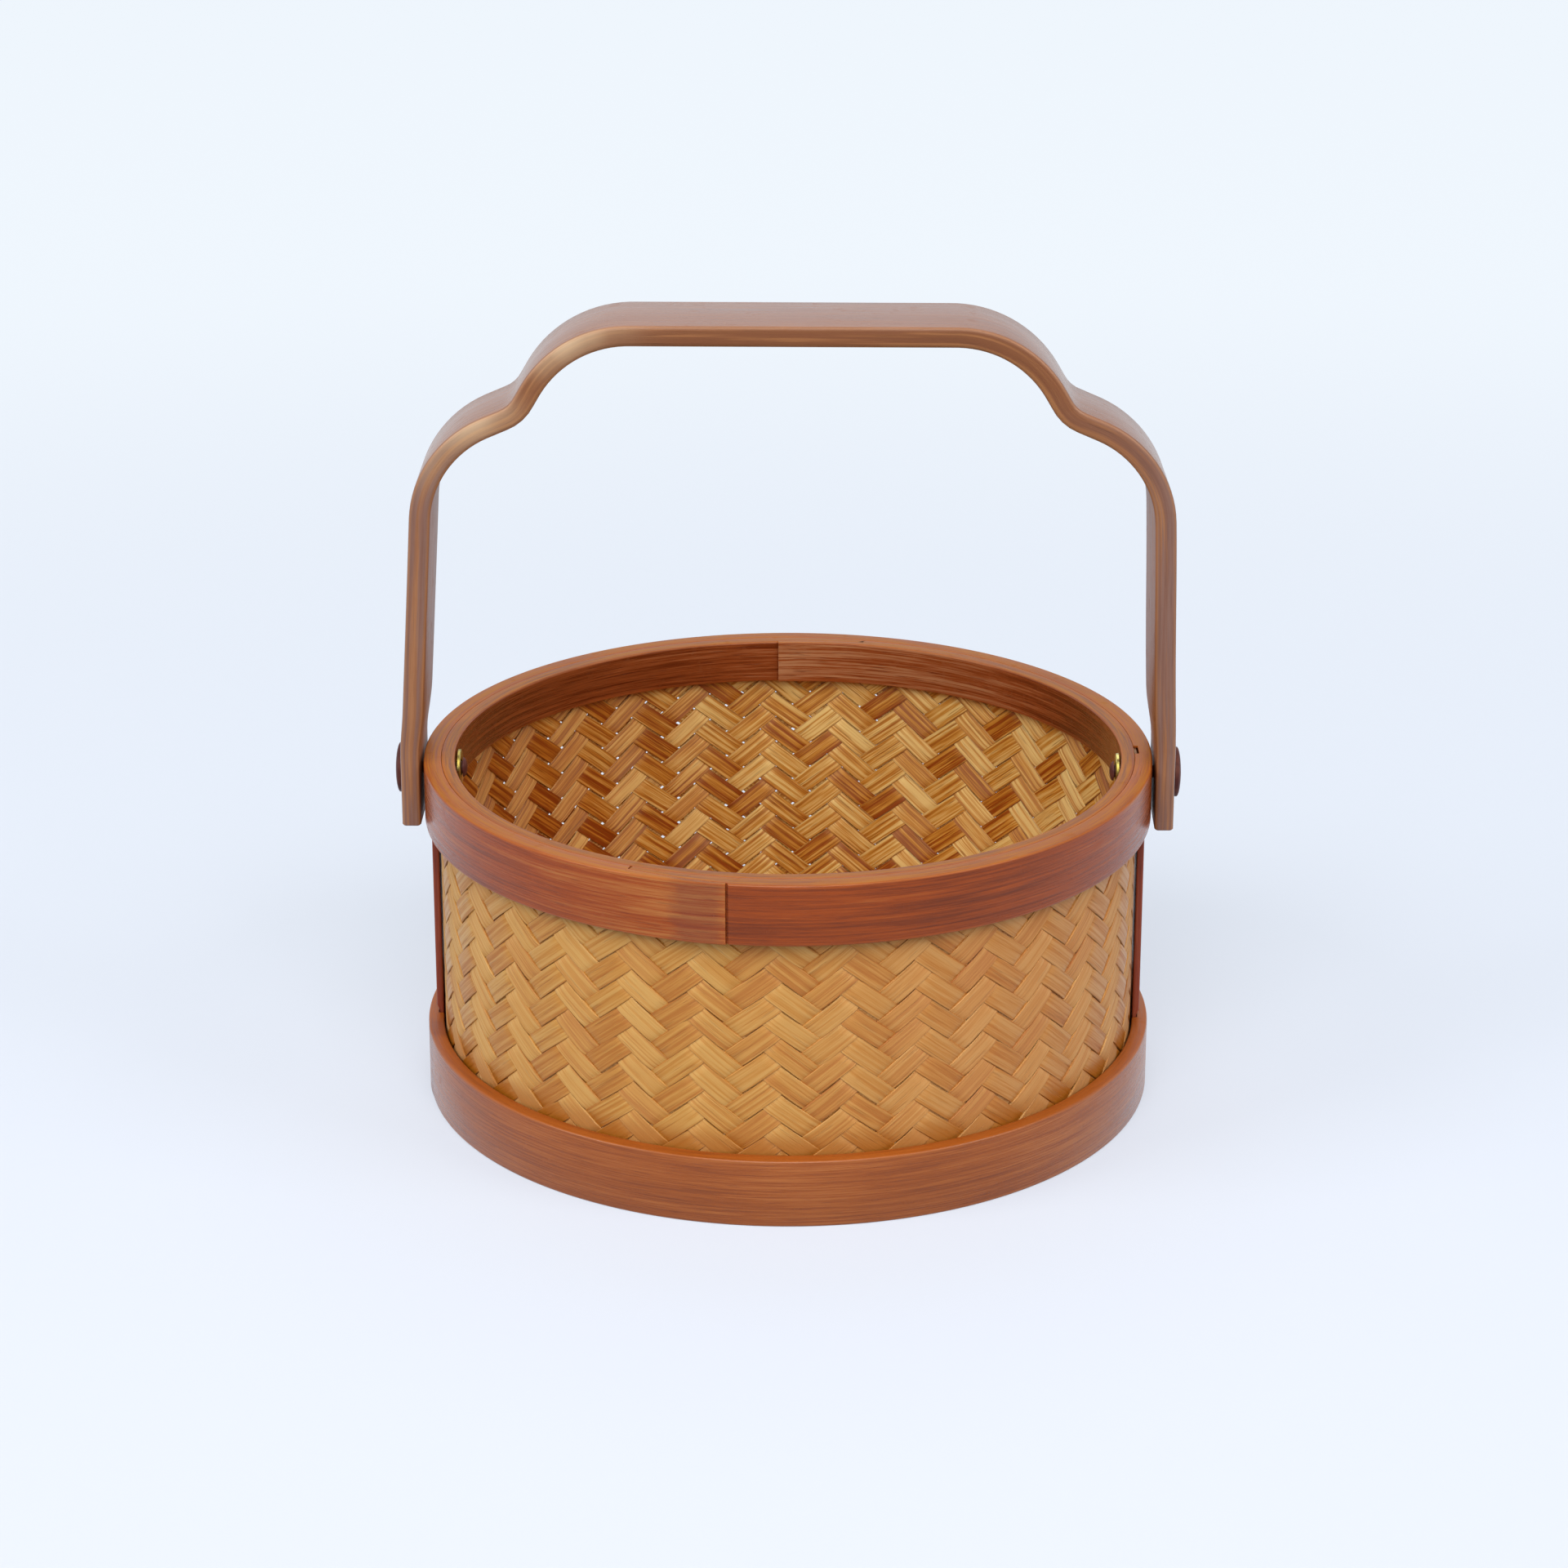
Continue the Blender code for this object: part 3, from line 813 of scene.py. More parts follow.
@dataclass(frozen=True)
class RivetFinish:
    """Rivet head painted with the bamboo's dark lacquered finish, worn thinner in patches."""

    name: str = "rivet_lacquer"
    paint: Colour = srgb(78, 38, 34)
    thin: Colour = srgb(108, 62, 50)
    patches: float = 350.0          # waves per metre of the thin patches
    patch_tones: Span = (0.4, 0.75)
    rough_tones: Span = (0.3, 0.7)
    smooth_and_dull: Span = (0.42, 0.58)
    spot_rough: float = 0.15
    pimples: float = 900.0          # waves per metre of the paint's surface
    relief: float = 0.03 * MM
    relief_share: float = 0.5

    def make(self, effects: Effects) -> Material:
        """Build the material.

        Args:
            effects: The shared effects.

        Returns:
            The material.
        """
        sheet = FinishSheet(self.name, effects)
        place = sheet.add("TexCoord").outputs["Object"]
        tone, spots = sheet.effect(effects.drift, Place=place, Scale=self.patches)
        colour = sheet.blend(sheet.remap(tone, *self.patch_tones), self.paint, self.thin)
        sheet.paint(colour, sheet.total(sheet.remap(tone, *self.rough_tones, *self.smooth_and_dull),
                                        sheet.times(spots, self.spot_rough)))
        sheet.constants(Specular_IOR_Level=0.15)
        sheet.bump(sheet.noise(place, self.pimples), self.relief, self.relief_share)
        return sheet.material


@dataclass(frozen=True)
class BackdropFinish:
    """Matt pale paper, seen partly by its own pale glow so that shadows on it stay faint.

    To surfaces that it lights from below it is dimmer, so the basket's inside isn't left dark.
    """

    name: str = "studio_paper"
    paper: Colour = srgb(215, 221, 231)
    bounce: Colour = srgb(160, 164, 170)
    front: Colour = srgb(236, 240, 253)
    middle: Colour = srgb(234, 241, 252)
    far: Colour = srgb(241, 248, 255)
    middle_from: Span = (-0.25, 0.15)
    far_behind: Span = (0.1, 0.7)
    far_around: Span = (0.8, 2.5)
    near_share: float = 0.5
    far_share: float = 0.95
    glow_reach: Span = (0.10, 0.65)
    drift_pace: float = 2.0
    drift_tones: Span = (0.3, 0.7)
    drift_share: float = 0.05
    roughness: float = 0.9

    def make(self, effects: Effects) -> Material:
        """Build the material.

        Args:
            effects: The shared effects.

        Returns:
            The material.
        """
        sheet = FinishSheet(self.name, effects)
        place = sheet.add("TexCoord").outputs["Object"]
        _, depth, _ = sheet.axes(place)
        tone, _ = sheet.effect(effects.drift, Place=place, Scale=self.drift_pace)
        seen = sheet.seen()
        colour = sheet.blend(sheet.remap(tone, *self.drift_tones, 0.0, self.drift_share), self.paper,
                             self.far)
        sheet.paint(sheet.blend(seen, self.bounce, colour), self.roughness)
        sheet.constants(Specular_IOR_Level=0.1)
        reach = sheet.length(place)
        shown = sheet.blend(sheet.remap(depth, *self.middle_from), self.front, self.middle)
        away = sheet.math("MAXIMUM", sheet.remap(depth, *self.far_behind),
                          sheet.remap(reach, *self.far_around))
        glow = sheet.add("Emission")
        sheet.feed(glow.inputs["Color"], sheet.blend(away, shown, self.far))
        mix = sheet.add("MixShader")
        sheet.feed(mix.inputs[0], sheet.times(seen, sheet.remap(
            reach, *self.glow_reach, self.near_share, self.far_share)))
        sheet.feed(mix.inputs[1], sheet.shader.outputs[0])
        sheet.feed(mix.inputs[2], glow.outputs[0])
        sheet.feed(sheet.tree.nodes["Material Output"].inputs["Surface"], mix.outputs[0])
        return sheet.material


# Strips


def straight_strip(length: float, thickness: float, width: float, edge_round: float,
                   stations: Sequence[float], edge_steps: int, levels: Sequence[float] = (),
                   end_round: float = 0.0, seam_round: float = 0.0) -> Mesh:
    """Make a straight strip along X from 0, with rounded long edges.

    Args:
        length: Length along X.
        thickness: Size along Y, centred.
        width: Size along Z, centred.
        edge_round: Radius of the long edges.
        stations: Distances along X at which the strip is divided.
        edge_steps: Facets of each rounded edge.
        levels: Heights along Z at which the strip is divided.
        end_round: Radius of the edges of both ends.
        seam_round: Radius of the long edge at -Y and +Z, if it isn't the others'.

    Returns:
        The strip, with its own coordinates kept in the place attribute.
    """
    def lengthwise(edge: bmesh.types.BMEdge) -> bool:
        """Return whether an edge runs along the whole strip."""
        return abs(edge.verts[0].co.x - edge.verts[1].co.x) > length / 2

    bm = bmesh.new()
    bmesh.ops.create_cube(bm, size=1.0)
    bmesh.ops.scale(bm, vec=(length, thickness, width), verts=bm.verts)
    bmesh.ops.translate(bm, vec=(length / 2, 0, 0), verts=bm.verts)
    long_edges = list(filter(lengthwise, bm.edges))
    seam = [e for e in long_edges if seam_round and e.verts[0].co.y < 0 < e.verts[0].co.z]
    for edges, offset in ((seam, seam_round), ([e for e in long_edges if e not in seam], edge_round)):
        if edges:
            bmesh.ops.bevel(bm, geom=edges, offset=offset, segments=edge_steps, profile=0.5,
                            affect="EDGES", material=-1)
    if end_round:
        end_edges = [e for e in bm.edges if not lengthwise(e)]
        bmesh.ops.bevel(bm, geom=end_edges, offset=end_round, segments=1, profile=0.5,
                        affect="EDGES", material=-1)
    for level in levels:
        bmesh.ops.bisect_plane(bm, geom=bm.verts[:] + bm.edges[:] + bm.faces[:],
                               plane_co=(0, 0, level), plane_no=(0, 0, 1))
    bmesh.ops.subdivide_edges(bm, edges=list(filter(lengthwise, bm.edges)), cuts=len(stations),
                              use_grid_fill=True)
    marks = [end_round, *stations, length - end_round]
    step = (length - 2 * end_round) / (len(marks) - 1)
    for vertex in bm.verts:
        if end_round - NEAR < vertex.co.x < length - end_round + NEAR:
            vertex.co.x = marks[round((vertex.co.x - end_round) / step)]
    place = bm.verts.layers.float_vector.new(PLACE)
    for vertex in bm.verts:
        vertex[place] = vertex.co
    return bm


def mark_growth(bm: Mesh, nodes: Sequence[float], length: float,
                tones: Rows = ((0.0, 0.5), (1.0, 0.5))) -> None:
    """Write each vertex's nearness to a node of the bamboo, and how light the strip is there.

    Args:
        bm: The strip, with its places.
        nodes: Distances along the strip at which it has a node.
        length: The strip's length.
        tones: Shares of the length, rising, and how light the strip is at each, 0 to 1.
    """
    place = bm.verts.layers.float_vector[PLACE]
    scar = bm.verts.layers.float.new(SCAR)
    tint = bm.verts.layers.float.new(TINT)
    for vertex in bm.verts:
        along = vertex[place].x
        away = min((abs(along - node) for node in nodes), default=1.0)
        vertex[scar] = math.exp(-((away / SCAR_REACH) ** 2))
        vertex[tint] = tones[0][1]
        for (start, first), (end, second) in zip(tones, tones[1:]):
            if along > start * length:
                vertex[tint] = first + (second - first) * smoothstep(start, end, along / length)


def face_outward(bm: Mesh) -> None:
    """Turn the faces of one closed piece outwards.

    On long thin curved strips the recalculation alone may turn them all inwards, which the
    signed volume then tells.

    Args:
        bm: The mesh, a single closed piece.
    """
    bmesh.ops.recalc_face_normals(bm, faces=bm.faces)
    if bm.calc_volume(signed=True) < 0:
        bmesh.ops.reverse_faces(bm, faces=bm.faces)


def lay_fibre_map(bm: Mesh) -> None:
    """Give a strip a UV map whose U runs along its fibres.

    Args:
        bm: The strip, with its places.
    """
    place = bm.verts.layers.float_vector[PLACE]
    layer = bm.loops.layers.uv.new("UVMap")
    for face in bm.faces:
        for loop in face.loops:
            along, through, across = loop.vert[place]
            loop[layer].uv = (along / (10 * MM), (across + through) / (10 * MM))


def show(name: str, data: bpy.types.ID) -> bpy.types.Object:
    """Put a new object in the scene and return it."""
    item = bpy.data.objects.new(name, data)
    bpy.context.scene.collection.objects.link(item)
    return item


def smooth_mesh(name: str, bm: Mesh, material: Material) -> bpy.types.Mesh:
    """Return a mesh shaded smooth and dressed in a material.

    Args:
        name: The mesh's name.
        bm: What it is made from. It is freed.
        material: Its material.

    Returns:
        The mesh.
    """
    mesh = bpy.data.meshes.new(name)
    bm.to_mesh(mesh)
    bm.free()
    mesh.materials.append(material)
    mesh.shade_smooth()
    return mesh


@dataclass
class Piece:
    """What a finished piece is called, rides on, stands for and is dressed in."""

    name: str
    body: Body
    slot: Slot
    material: Material
    stands_for: tuple[str, ...] = ()

    def finish(self, bm: Mesh) -> None:
        """Turn a mesh into the finished piece on its body.

        Args:
            bm: The mesh, in the frame's own place. It is freed.
        """
        mesh = smooth_mesh(self.name, bm, self.material)
        mesh.set_sharp_from_angle(angle=SMOOTH_ANGLE)
        item = show(self.name, mesh)
        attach(item, self.body.value)
        if self.stands_for:
            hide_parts(*self.stands_for)
        log.info("%s: %d faces", self.name, len(mesh.polygons))

    def finish_strip(self, bm: Mesh) -> None:
        """Finish a piece that is one strip, closed and bent into its place."""
        face_outward(bm)
        lay_fibre_map(bm)
        self.finish(bm)


# Weave


@dataclass(frozen=True)
class Twill:
    """Two families of splints that cross, each over two and under two of the other.

    A place in the weave is given by two counts: how many rising and how many falling
    splints lie before it. Where both counts are whole numbers two splints cross. The sum
    of the counts grows to the right, and falling less rising grows upwards.
    """

    spacing: float
    slope: float
    width: float = 4.02 * MM
    thickness: float = 0.42 * MM
    edge_round: float = 0.09 * MM
    crown: float = 0.03 * MM
    swing: float = 0.27 * MM
    crispness: float = 3.0
    turn_steps: tuple[float, ...] = (0.05, 0.16, 0.28, 0.45)
    end_gap: float = 0.02                  # least crossings from a division to an end
    widths: Span = (0.95, 1.02)            # each splint's share of the width
    tone_peak: float = 2.2                 # how strongly tones gather in the middle
    sway: float = 0.05                     # most sideways sway, in pitches
    sway_pace: float = 0.7                 # radians of sway for each crossing
    sway_turns: Span = (0.0, 6.28)
    snug: float = 1.063
    snug_from: Span = (0.22, 0.42)         # shares of the way round from the loose side
    loose_at: float = 0.0
    loose_reach: float = 0.0

    @property
    def pitch(self) -> float:
        """Distance between neighbouring splints, across them."""
        return self.spacing * math.sin(self.slope)

    @property
    def stride(self) -> float:
        """Length of splint from one crossing to the next."""
        return self.spacing / (2 * math.cos(self.slope))

    @property
    def storey(self) -> float:
        """Rise from one crossing to the next."""
        return self.spacing / 2 * math.tan(self.slope)

    def lift(self, total: float) -> float:
        """Return how far a rising splint lies above the middle surface at a sum of counts."""
        wave = math.cos(math.pi / 2 * (total - 0.5))
        return self.swing * math.tanh(self.crispness * wave) / math.tanh(self.crispness)

    def fullness(self, level: float) -> float:
        """Return how much wider a splint is at a level distance than where the weave is loose.

        Args:
            level: Level distance along the weave.

        Returns:
            Its share of the loose width, 1 or more.
        """
        if not self.loose_reach:
            return 1.0
        around = self.loose_reach * math.pi
        away = abs(math.remainder(level - self.loose_at, 2 * around)) / around
        return 1 + (self.snug - 1) * smoothstep(*self.snug_from, away)

    def stations(self, family: Family, low: float, high: float) -> list[float]:
        """Return the crossings at which a splint is divided, close together where it turns.

        Args:
            family: The splint's direction.
            low: Crossing count at its lower end.
            high: Crossing count at its upper end.

        Returns:
            The counts between low and high.
        """
        # Every two crossings a splint passes from over to under or back
        switch = 1.5 * family.value % 2
        found = []
        turn = switch - 2 * math.ceil((switch - low) / 2 + 1)
        while turn < high + 2:
            found += [turn - step for step in reversed(self.turn_steps)]
            found += [turn + step for step in self.turn_steps] + [turn + 1]
            turn += 2
        return [count for count in found if low + self.end_gap < count < high - self.end_gap]

    def splint(self, family: Family, index: int, low: float, high: float,
               chance: random.Random) -> Mesh:
        """Make one splint in the flat weave: level distance on X, lift on Y, height on Z.

        Args:
            family: The splint's direction.
            index: Its number within the family.
            low: Crossing count at its lower end.
            high: Crossing count at its upper end.
            chance: Source of its small faults.

        Returns:
            The splint's closed mesh.
        """
        length = (high - low) * self.stride
        width = self.width * chance.uniform(*self.widths)
        cuts = [(count - low) * self.stride for count in self.stations(family, low, high)]
        bm = straight_strip(length, self.thickness, width, self.edge_round, cuts, 1, (0.0,))
        tint = bm.verts.layers.float.new(TINT)
        tone = chance.betavariate(self.tone_peak, self.tone_peak)
        sway, turn = chance.uniform(0.0, self.sway), chance.uniform(*self.sway_turns)
        for vertex in bm.verts:
            count = low + vertex.co.x / self.stride
            across = vertex.co.z / self.pitch + sway * math.sin(count * self.sway_pace + turn)
            domed = math.copysign(self.crown, vertex.co.y) * (1 - (2 * vertex.co.z / width) ** 2)
            middle = (2 * index + family.value * count) * self.spacing / 2
            across *= self.fullness(middle)
            if family is Family.RISING:
                rising, falling = index + across, index + count
                lift = self.lift(index + falling)
            else:
                rising, falling = index - count, index + across
                lift = -self.lift(index + rising)
            level = (rising + falling) * self.spacing / 2
            height = (falling - rising) * self.storey
            vertex[tint] = tone
            vertex.co = (level, lift + vertex.co.y + domed, height)
        return bm


def trim(bm: Mesh, point: Vector, outward: Vector) -> None:
    """Cut a mesh off at a plane and close the cut ends.

    Args:
        bm: The mesh.
        point: A point on the plane.
        outward: Direction of the side that goes.
    """
    bmesh.ops.bisect_plane(bm, geom=bm.verts[:] + bm.edges[:] + bm.faces[:], plane_co=point,
                           plane_no=outward, clear_outer=True)
    bmesh.ops.holes_fill(bm, edges=[e for e in bm.edges if e.is_boundary], sides=0)


def gather(target: Mesh, part: Mesh) -> None:
    """Add a part to a larger mesh and free the part.

    Args:
        target: The larger mesh.
        part: The part.
    """
    carrier = bpy.data.meshes.new("carrier")
    part.to_mesh(carrier)
    part.free()
    target.from_mesh(carrier)
    bpy.data.meshes.remove(carrier)


@dataclass
class WovenWall:
    """The round wall: every splint of both families, wrapped round the basket."""

    material: Material
    thickness: float = 1.1 * MM
    splints: int = 60
    slope: float = math.radians(38.4)
    loose: float = math.radians(140)
    overrun: float = 0.6            # crossings past the top and the bottom, before trimming
    seed: int = 11

    def make(self) -> None:
        """Build one piece for each family of splints."""
        low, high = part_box("woven_wall")
        middle = high.x - self.thickness / 2
        twill = Twill(spacing=2 * math.pi * middle / self.splints, slope=self.slope,
                      loose_at=self.loose * middle, loose_reach=middle)
        chance = random.Random(self.seed)
        first, last = low.z / twill.storey - self.overrun, high.z / twill.storey + self.overrun
        for family in Family:
            bm = bmesh.new()
            for index in range(self.splints):
                splint = twill.splint(family, index, first, last, chance)
                trim(splint, Vector((0, 0, high.z)), Vector((0, 0, 1)))
                trim(splint, Vector((0, 0, low.z)), Vector((0, 0, -1)))
                for vertex in splint.verts:
                    angle, radius = vertex.co.x / middle, middle + vertex.co.y
                    vertex.co = (radius * math.cos(angle), radius * math.sin(angle), vertex.co.z)
                face_outward(splint)
                gather(bm, splint)
            lay_fibre_map(bm)
            stands_for = ("woven_wall",) if family is Family.RISING else ()
            Piece(f"wall_splints_{family.name.lower()}", Body.BASKET, Slot.WEAVE, self.material,
                  stands_for).finish(bm)


@dataclass
class BaseMat:
    """The woven floor of the basket, cut to a disc."""

    material: Material
    pitch: float = 4.33 * MM
    slope: float = math.radians(45)
    overrun: float = 0.7            # crossings past the disc's edge, before trimming
    seed: int = 23

    def make(self) -> None:
        """Build the disc of splints, all in one piece."""
        low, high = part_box("base_mat")
        radius, middle = high.x, (low.z + high.z) / 2
        twill = Twill(spacing=self.pitch / math.sin(self.slope), slope=self.slope)
        chance = random.Random(self.seed)
        bm = bmesh.new()
        for family in Family:
            most = math.floor((radius - twill.width / 2) / self.pitch)
            for index in range(-most, most + 1):
                offset = index * self.pitch
                half = math.sqrt(radius ** 2 - offset ** 2)
                centre = -index * family.value
                reach = half / twill.stride + self.overrun
                splint = twill.splint(family, index, centre - reach, centre + reach, chance)
                self._trim_ends(splint, family, offset, half)
                for vertex in splint.verts:
                    vertex.co = (vertex.co.x, vertex.co.z, middle + vertex.co.y)
                face_outward(splint)
                gather(bm, splint)
        lay_fibre_map(bm)
        Piece("mat_splints", Body.BASKET, Slot.WEAVE, self.material, ("base_mat",)).finish(bm)

    @staticmethod
    def _trim_ends(splint: Mesh, family: Family, offset: float, half: float) -> None:
        """Cut both ends of a splint to the disc's edge.

        Args:
            splint: The splint in the flat weave.
            family: Its direction.
            offset: Its distance from the middle.
            half: Half its length.
        """
        slant = math.sqrt(0.5)
        along = Vector((slant, 0, slant * family.value))
        aside = Vector((slant, 0, -slant * family.value))
        for end in (-1, 1):
            tip = along * half * end + aside * offset
            trim(splint, tip, tip.normalized())


# Hoops


@dataclass
class Hoop:
    """A strip bent into a ring whose pared ends lap over each other."""

    node: str
    inner: float
    thickness: float
    bottom: float
    height: float
    joint: float
    material: Material
    lap_inside: bool = False
    proud: float = 0.0
    fade: float = math.radians(16)
    nodes: tuple[float, ...] = ()
    lap_angle: float = math.radians(16)
    lap_tip: float = 0.5 * MM
    lap_step: float = 0.2 * MM
    edge_round: float = 0.4 * MM
    seam_share: float = 0.2
    segments: int = 264
    swell: float = 0.10 * MM
    swell_from: Span = (0.6, 1.0)               # nearness to a node over which it rises
    pocket_depth: float = 0.0
    pocket_half: float = 4.3 * MM
    lip: float = 0.0
    lip_height: float = 0.42 * MM
    lip_step: float = 0.02 * MM
    lip_share: float = 0.16         # share of the thickness, from the inside, that the lip moves
    top_share: float = 0.8          # share of it above which a place is on the upper face
    seam_round: float = 0.07 * MM
    slot: Span = (0.0, 0.0)
    tones: Rows = ((0.0, 0.5), (1.0, 0.5))

    @property
    def outer(self) -> float:
        """Outside radius of the ring."""
        return self.inner + self.thickness

    def pared(self, travel: float) -> Span:
        """Return how much the strip loses on its upper and its lower side at an angle.

        Args:
            travel: Angle from the start of the strip.

        Returns:
            Both depths.
        """
        body = self.thickness - 2 * self.lap_tip - SEAM
        if travel <= self.lap_angle:
            return self.lap_tip + SEAM + body * (1 - travel / self.lap_angle), 0.0
        if travel >= 2 * math.pi:
            return 0.0, self.lap_tip + SEAM + body * (travel - 2 * math.pi) / self.lap_angle
        return 0.0, 0.0

    def stand(self, travel: float) -> float:
        """Return how far the overlapping end stands proud at an angle."""
        left = (2 * math.pi + self.lap_angle - travel) / self.fade
        return self.proud * max(0.0, 1 - left) ** 2 if left < 1 else 0.0

    def pocket(self, angle: float) -> float:
        """Return how much the inside is cut away at an angle for a side slat's tongue."""
        aside = abs((angle + math.pi / 2) % math.pi - math.pi / 2) * self.inner
        return self.pocket_depth if aside < self.pocket_half else 0.0

    def stations(self, first: float, last: float) -> list[float]:
        """Return the angles of travel at which the strip is divided.

        Args:
            first: Travel at its start.
            last: Travel at its end.

        Returns:
            The angles between them, in order.
        """
        full, step = 2 * math.pi, self.lap_step / self.outer
        marks = [self.lap_angle, self.lap_angle + step, full - step, full]
        start, wall = self.joint - self.lap_angle, HOLE_WALL / self.inner
        if self.pocket_depth:
            half = self.pocket_half / self.inner
            marks += [middle - start + side * edge for middle in (0, math.pi, full, full + math.pi)
                      for side in (-1, 1) for edge in (half - wall, half + wall)]
        if self.lip:
            marks += [full + edge / self.inner - start + run for edge in self.slot
                      for run in (-wall, wall)]
        near = full / self.segments / 4
        marks = [m for m in marks if first + near < m < last - near]
        most = round(self.segments * (1 + self.lap_angle / full)) + 1
        even = [full * count / self.segments for count in range(1, most)]
        even = [s for s in even if first + near < s < last - near
                and all(abs(s - mark) > near for mark in marks)]
        return sorted(even + marks)

    def make(self) -> None:
        """Build the hoop."""
        gap = CLEARANCE / self.outer
        start = self.joint - self.lap_angle
        first, last = gap, 2 * math.pi + self.lap_angle - gap
        marks = [(s - first) * self.outer for s in self.stations(first, last)]
        length = (last - first) * self.outer
        ledge = self.height / 2 - self.lip_height
        levels = (ledge - self.lip_step, ledge) if self.lip else ()
        bm = straight_strip(length, self.thickness, self.height, self.edge_round, marks, 3, levels,
                            seam_round=self.seam_round if self.lip else 0.0)
        along = [((angle - self.joint) % (2 * math.pi) + self.lap_angle - first) * self.outer
                 for angle in self.nodes]
        mark_growth(bm, along, length, self.tones)
        scar = bm.verts.layers.float[SCAR]
        for vertex in bm.verts:
            travel = vertex.co.x / self.outer + first
            upper, lower = self.pared(travel)
            share = vertex.co.y / self.thickness + 0.5
            depth = lower + share * (self.thickness - upper - lower) + share * self.stand(travel)
            depth += share * self.swell * smoothstep(*self.swell_from, vertex[scar])
            angle = start + travel
            at_lip = (self.lip and travel < 2 * math.pi and share < self.lip_share
                      and vertex.co.z > ledge - self.lip_step / 2)
            aside = math.remainder(angle, 2 * math.pi) * self.inner
            if at_lip and not self.slot[0] < aside < self.slot[1]:
                depth -= self.lip
            elif self.pocket_depth and share < 0.5 and not at_lip:
                depth = max(depth, self.pocket(angle))
            radius = self.outer - depth if self.lap_inside else self.inner + depth
            height = vertex.co.z
            below = self.height / 2 - abs(height)
            covered = travel < self.lap_angle and share > self.top_share
            if covered and below < self.edge_round + NEAR:
                height = math.copysign(self.height / 2 - below * self.seam_share, height)
            vertex.co = (radius * math.cos(angle), radius * math.sin(angle),
                         self.bottom + self.height / 2 + height)
        Piece(f"dressed_{self.node}", Body.BASKET, Slot.HOOP, self.material,
              (self.node,)).finish_strip(bm)


# Handle and side slats


class Bend:
    """A round stretch of a path, tangent to the straight stretches beside it."""

    def __init__(self, start: Vector, heading: Vector, turn: float, radius: float) -> None:
        """Keep where the bend starts, which way it heads, its signed turn and its radius."""
        self.start, self.heading, self.turn, self.radius = start, heading, turn, radius
        self.length = abs(turn) * radius

    def at(self, distance: float) -> tuple[Vector, Vector]:
        """Return the point and the direction at a distance along the bend.

        Args:
            distance: Distance from its start.

        Returns:
            The point and the direction.
        """
        side = math.copysign(1.0, self.turn)
        inward = Vector((-self.heading.y, self.heading.x)) * side
        turned = Matrix.Rotation(side * distance / self.radius, 2)
        centre = self.start + inward * self.radius
        return centre + turned @ (self.start - centre), turned @ self.heading


class Run:
    """A straight stretch of a path."""

    def __init__(self, start: Vector, end: Vector) -> None:
        """Keep where the stretch starts and ends."""
        self.start, self.heading = start, (end - start).normalized()
        self.length = (end - start).length

    def at(self, distance: float) -> tuple[Vector, Vector]:
        """Return the point and the direction at a distance along the stretch."""
        return self.start + self.heading * distance, self.heading


class Path:
    """Straight stretches through corners in the XZ plane, with a bend at each inner corner."""

    def __init__(self, corners: Sequence[Vector], radii: Sequence[float]) -> None:
        """Work out the stretches.

        Args:
            corners: The corners, both ends included.
            radii: The bend radius at each inner corner.
        """
        self.stretches: list[Run | Bend] = []
        here = corners[0]
        for corner, after, radius in zip(corners[1:-1], corners[2:], radii):
            heading, leaving = (corner - here).normalized(), (after - corner).normalized()
            turn = math.atan2(heading.cross(leaving), heading.dot(leaving))
            cut = radius * math.tan(abs(turn) / 2)
            self.stretches.append(Run(here, corner - heading * cut))
            self.stretches.append(Bend(corner - heading * cut, heading, turn, radius))
            here = corner + leaving * cut
        self.stretches.append(Run(here, corners[-1]))
        self.length = sum(stretch.length for stretch in self.stretches)

    def at(self, distance: float) -> tuple[Vector, Vector]:
        """Return the point and the direction at a distance along the whole path.

        Args:
            distance: Distance from its start.

        Returns:
            The point and the direction.
        """
        for stretch in self.stretches[:-1]:
            if distance <= stretch.length:
                return stretch.at(distance)
            distance -= stretch.length
        return self.stretches[-1].at(distance)


